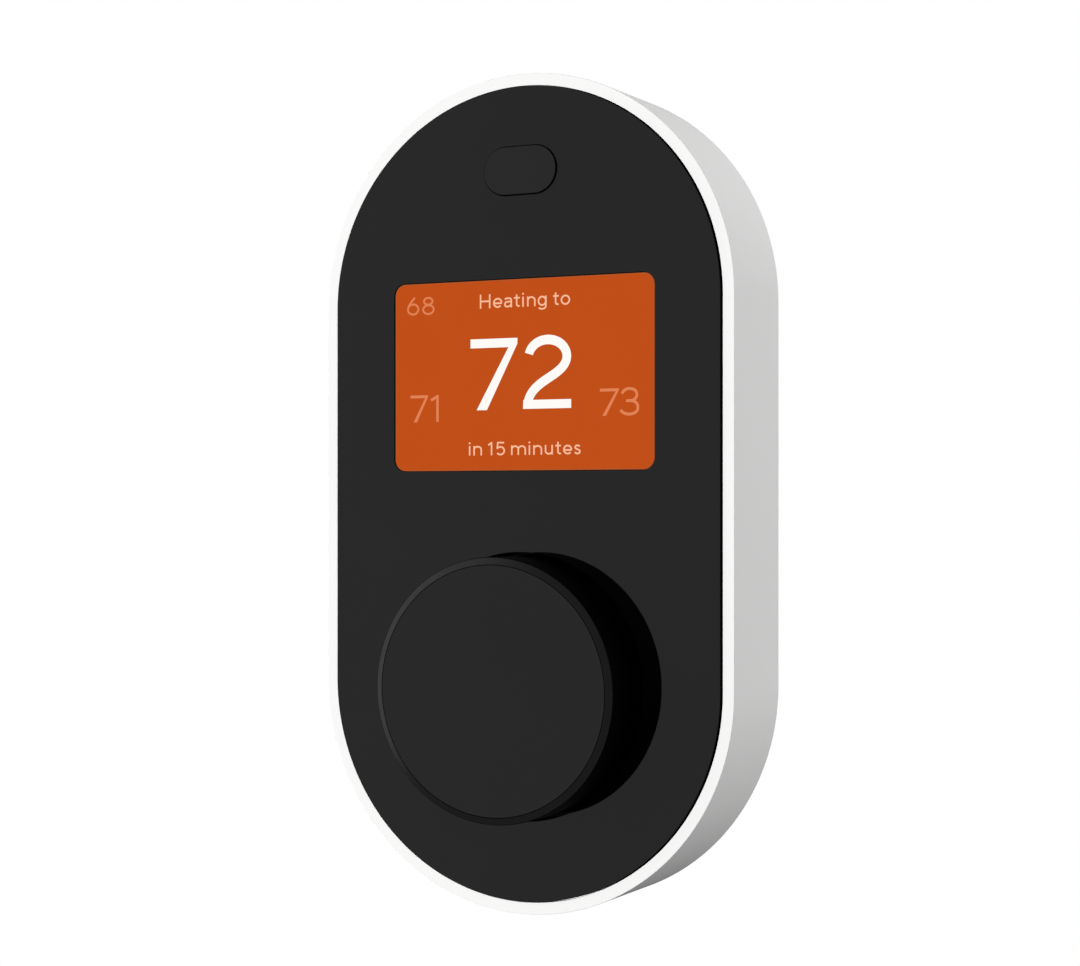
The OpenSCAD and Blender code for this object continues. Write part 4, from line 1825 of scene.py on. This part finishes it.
@dataclass
class Dial:
    """Everything that turns: a hollow shell with a bevel, and a disc let into its face."""

    nodes: dict[str, bpy.types.Object]
    bevel_depth: float = 0.5
    cap_gap: float = 0.1
    recess: float = 0.8
    wall: float = 1.52
    face: float = 1.0
    hub_outer: float = 11.0
    hub_wall: float = 1.55
    hub_back: float = 21.8

    def build(self) -> None:
        """Builds every piece that turns."""
        self._shell()
        self._cap()
        for part in self.refined():
            part.make(self.nodes)

    def _shell(self) -> None:
        """Builds the shell: bevelled front, recess for the disc, and a hub behind."""
        span = Span.of("dial_shell")
        radius, z = span.width / 2, span.z
        side_front = span.far - self.bevel_depth
        bevel_radius = Span.of("dial_cap").width / 2 + self.cap_gap
        piece = Piece.bar("dial_cup", radius, span.near, side_front, z=z, sides=224)
        face_back = span.far - self.recess - self.face
        with piece.editing():
            piece.pick_front(side_front)
            piece.push(self.bevel_depth)
            share = bevel_radius / radius
            bpy.ops.transform.resize(value=(share, 1, share), center_override=(0, -span.far, z))
            piece.push(-self.recess)
            piece.pick_back(span.near)
            piece.inset(self.wall)
            piece.push(face_back - span.near)
            piece.inset(radius - self.wall - self.hub_outer)
            piece.inset(self.hub_wall)

            def is_hub(centre: Vector, normal: Vector) -> bool:
                """Says whether a face is the ring that the hub grows from."""
                away = math.hypot(centre.x, centre.z - z)
                return normal.y > 0.9 and self.hub_outer - self.hub_wall < away < self.hub_outer

            piece.pick_faces(is_hub)
            piece.push(self.hub_back - face_back)
            piece.face_outwards()
        piece.round_edges(
            lambda edge: is_fold(edge) and not any(abs(-v.co.y - span.far) < 0.01 for v in edge.verts), 0.1, 2
        )
        piece.round_edges(
            lambda edge: lies_flat(edge, side_front)
            and math.hypot(between(edge).x, between(edge).z - z) > radius - 0.4,
            0.05,
            2,
        )
        # The shell is the darker black all over, which is painted shade, and only the bevel gets the glossier
        # black.
        piece.finish(Finishes.DIAL_SIDE_PAINTED_SHADE, Finishes.DIAL_BEVEL, angle=20)
        piece.paint(
            1,
            lambda centre, normal: -centre.y > side_front + 0.02
            and math.hypot(centre.x, centre.z - z) > bevel_radius + 0.1,
        )
        piece.settle(Body.DIAL, "dial_black", "dial_shell")

    def _cap(self) -> None:
        """Builds the disc that is let into the face."""
        span = Span.of("dial_cap")
        piece = Piece.bar("dial_disc", span.width / 2, span.near, span.far, z=span.z, sides=224)
        piece.round_front(span.far, 0.03, 2)
        piece.finish(Finishes.DIAL_CAP, Finishes.SIDE_PAINTED_SHADE)
        # The disc's rim takes the darker black: painted shade in the gap round it.
        piece.paint_sides(1, 0.8)
        piece.settle(Body.DIAL, "dial_cap_black", "dial_cap")

    @staticmethod
    def refined() -> list[Refined]:
        """Returns the parts of the dial that keep their CAD shape.

        Returns:
            The parts.
        """
        return [
            Refined("dial_bearing", "dial_bush", Body.DIAL, "bush_white", Finishes.ACETAL, 0.1),
            Refined("magnet_cup", "magnet_holder", Body.DIAL, "holder_grey", Finishes.HOLDER, 0.1),
            Refined("magnet_band", "magnet_ring", Body.DIAL, "magnet_dark", Finishes.MAGNET, 0.1),
            Refined("click_ring", "detent_ring", Body.DIAL, "bush_white", Finishes.ACETAL, 0.08),
        ]


# --- The wall plate ---


@dataclass
class WallPlate:
    """What stays on the wall: the plate, its terminals and its level."""

    nodes: dict[str, bpy.types.Object]
    bubble_length: float = 4.6
    bubble_radius: float = 1.5

    def build(self) -> None:
        """Builds every piece of the wall plate."""
        for part in self.refined():
            part.make(self.nodes)
        self._bubble()

    def _bubble(self) -> None:
        """Builds the level's bubble, at the top of the liquid, with its ends rounded."""
        span = Span.of("level_liquid")
        deselect()
        bpy.ops.mesh.primitive_cylinder_add(
            vertices=32,
            radius=self.bubble_radius,
            depth=self.bubble_length,
            location=(span.x, -(span.near + span.far) / 2 - 0.35, span.z + 0.35),
            rotation=(0, math.pi / 2, 0),
        )
        piece = Piece.adopt("level_bubble")
        piece.round_edges(is_fold, 0.9, 5)
        piece.finish(Finishes.VIAL, angle=60)
        piece.settle(Body.PLATE, "vial_clear")

    @staticmethod
    def refined() -> list[Refined]:
        """Returns the parts of the wall plate that keep their CAD shape.

        Returns:
            The parts.
        """
        plate = Body.PLATE
        tabs = [
            Refined(f"push_tab_{i}", f"terminal_tab_{i}", f"tab_{i}", "tab_white", Finishes.TAB, 0.25)
            for i in range(1, 11)
        ]
        return [
            Refined("plate_moulding", "wall_plate", plate, "plate_white", Finishes.PLATE, 0.22, False),
            Refined("block_left", "terminal_block_left", plate, "terminal_green", Finishes.TERMINAL, 0.2),
            Refined("block_right", "terminal_block_right", plate, "terminal_green", Finishes.TERMINAL, 0.2),
            Refined("clamps_left", "terminal_clamps_left", plate, "leaf_bronze", Finishes.BRONZE, 0.06),
            Refined("clamps_right", "terminal_clamps_right", plate, "leaf_bronze", Finishes.BRONZE, 0.06),
            Refined("socket_strips", "contact_sockets", plate, "socket_dark", Finishes.SOCKET, 0.15),
            Refined("grip_clips", "head_clips", plate, "spring_steel", Finishes.SPRING, 0.06),
            Refined("level_tube", "level_vial", plate, "vial_clear", Finishes.VIAL, 0.2),
            Refined("level_ends", "level_plugs", plate, "plug_white", Finishes.PLUG, 0.1),
            Refined("level_fill", "level_liquid", plate, "liquid_green", Finishes.LIQUID, 0.2),
            *tabs,
        ]


# --- The studio ---


@dataclass(frozen=True)
class SoftBox:
    """A square soft light that looks at the thermostat."""

    name: str
    azimuth: float
    height: float
    distance: float
    size: tuple[float, float]
    glow: float

    def place(self) -> None:
        """Puts the light in the scene.

        The azimuth is in degrees from straight ahead of the dial, to the right; the height
        is in degrees above level; the glow is the light's own brightness.
        """
        turn, rise = math.radians(self.azimuth), math.radians(self.height)
        away = Vector((math.sin(turn) * math.cos(rise), -math.cos(turn) * math.cos(rise), math.sin(rise)))
        light = bpy.data.lights.new(self.name, "AREA")
        light.shape = "RECTANGLE"
        light.size, light.size_y = self.size
        light.energy = self.glow * math.pi * self.size[0] * self.size[1]
        lamp = add_object(self.name, light)
        lamp.location = away * self.distance
        lamp.rotation_euler = away.to_track_quat("Z", "Y").to_euler()


@dataclass
class Studio:
    """The camera, lights, backdrop and floor."""

    camera_place: tuple[float, float, float] = (0.15252, -0.30764, -0.00169)
    camera_turn: tuple[float, float, float] = (89.98, 0.0, 26.742)
    lens: float = 73.54
    shift: Point = (-0.01876, 0.02137)
    sun_from: tuple[float, float, float] = (-3.6, -8.87, -0.6)
    sun_strength: float = 3.4
    ambient: float = 0.012
    floor_z: float = -0.29
    floor_radius: float = 0.6
    boxes: tuple[SoftBox, ...] = (
        SoftBox("left_box", -74.0, 4.0, 0.8, (0.4, 0.85), 0.72),
        SoftBox("upper_left_box", -57.0, 36.0, 0.8, (0.4, 0.3), 0.5),
        SoftBox("front_left_box", -38.0, 43.0, 0.8, (0.3, 0.3), 0.3),
        SoftBox("right_box", 114.0, 18.0, 0.8, (0.6, 0.8), 3.5),
        SoftBox("top_box", 100.0, 86.0, 0.8, (0.6, 0.6), 1.3),
        SoftBox("low_box", 112.0, -75.0, 0.8, (0.6, 0.6), 0.87),
        SoftBox("back_box", 190.0, 18.0, 0.8, (0.9, 0.9), 0.75),
    )

    def build(self) -> None:
        """Sets up the whole studio."""
        self._camera()
        self._sun()
        for box in self.boxes:
            box.place()
        self._world()
        self._floor()
        bpy.context.scene.view_settings.view_transform = "Standard"
        LOG.info("set up the studio")

    def _camera(self) -> None:
        """Puts the camera in its place."""
        data = bpy.data.cameras.new("camera")
        data.lens = self.lens
        data.sensor_width = 36.0
        data.shift_x, data.shift_y = self.shift
        data.clip_start = 0.01
        camera = add_object("camera", data)
        camera.location = self.camera_place
        camera.rotation_euler = [math.radians(angle) for angle in self.camera_turn]
        bpy.context.scene.camera = camera

    def _sun(self) -> None:
        """Adds the key light."""
        light = bpy.data.lights.new("key", "SUN")
        light.energy = self.sun_strength
        light.angle = math.radians(0.7)
        lamp = add_object("key", light)
        lamp.rotation_euler = Vector(self.sun_from).to_track_quat("Z", "Y").to_euler()

    def _world(self) -> None:
        """Makes the surroundings white to look at, and a faint fill on the object."""
        world = bpy.data.worlds.new("surroundings")
        bpy.context.scene.world = world
        world.use_nodes = True
        tree = world.node_tree
        tree.nodes.clear()
        paths = tree.nodes.new("ShaderNodeLightPath")
        seen = tree.nodes.new("ShaderNodeMapRange")
        seen.inputs["To Min"].default_value = self.ambient
        seen.inputs["To Max"].default_value = 1.0
        glow = tree.nodes.new("ShaderNodeBackground")
        glow.inputs["Color"].default_value = (1.0, 1.0, 1.0, 1.0)
        output = tree.nodes.new("ShaderNodeOutputWorld")
        tree.links.new(paths.outputs["Is Camera Ray"], seen.inputs["Value"])
        tree.links.new(seen.outputs["Result"], glow.inputs["Strength"])
        tree.links.new(glow.outputs["Background"], output.inputs["Surface"])

    def _floor(self) -> None:
        """Lays the plain pale floor, a round disc."""
        deselect()
        bpy.ops.mesh.primitive_cylinder_add(
            vertices=96, radius=self.floor_radius, depth=0.01, location=(0, -0.1, self.floor_z)
        )
        floor = bpy.context.object
        floor.name = "floor"
        sheet = Sheet("floor_pale")
        grain = sheet.noise(30.0, 1.0)
        sheet.skin(
            Base_Color=sheet.tint(grain, (0.8, 0.8, 0.8), (0.84, 0.84, 0.84)),
            Roughness=0.8,
            Emission_Color=sheet.tint(grain, (0.96, 0.96, 0.96), (1.0, 1.0, 1.0)),
            Emission_Strength=0.9,
        )
        floor.data.materials.append(sheet.material)
        floor.visible_diffuse = False
        floor.visible_glossy = False
        floor.visible_shadow = False


def main() -> None:
    """Builds the thermostat round its frame, and the studio round the thermostat."""
    logging.basicConfig(level=logging.INFO, format="%(name)s: %(message)s")
    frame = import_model()
    nodes = frame["nodes"]
    Studio().build()
    WallPlate(nodes).build()
    Head(nodes).build()
    Dial(nodes).build()


if __name__ == "__main__":
    main()
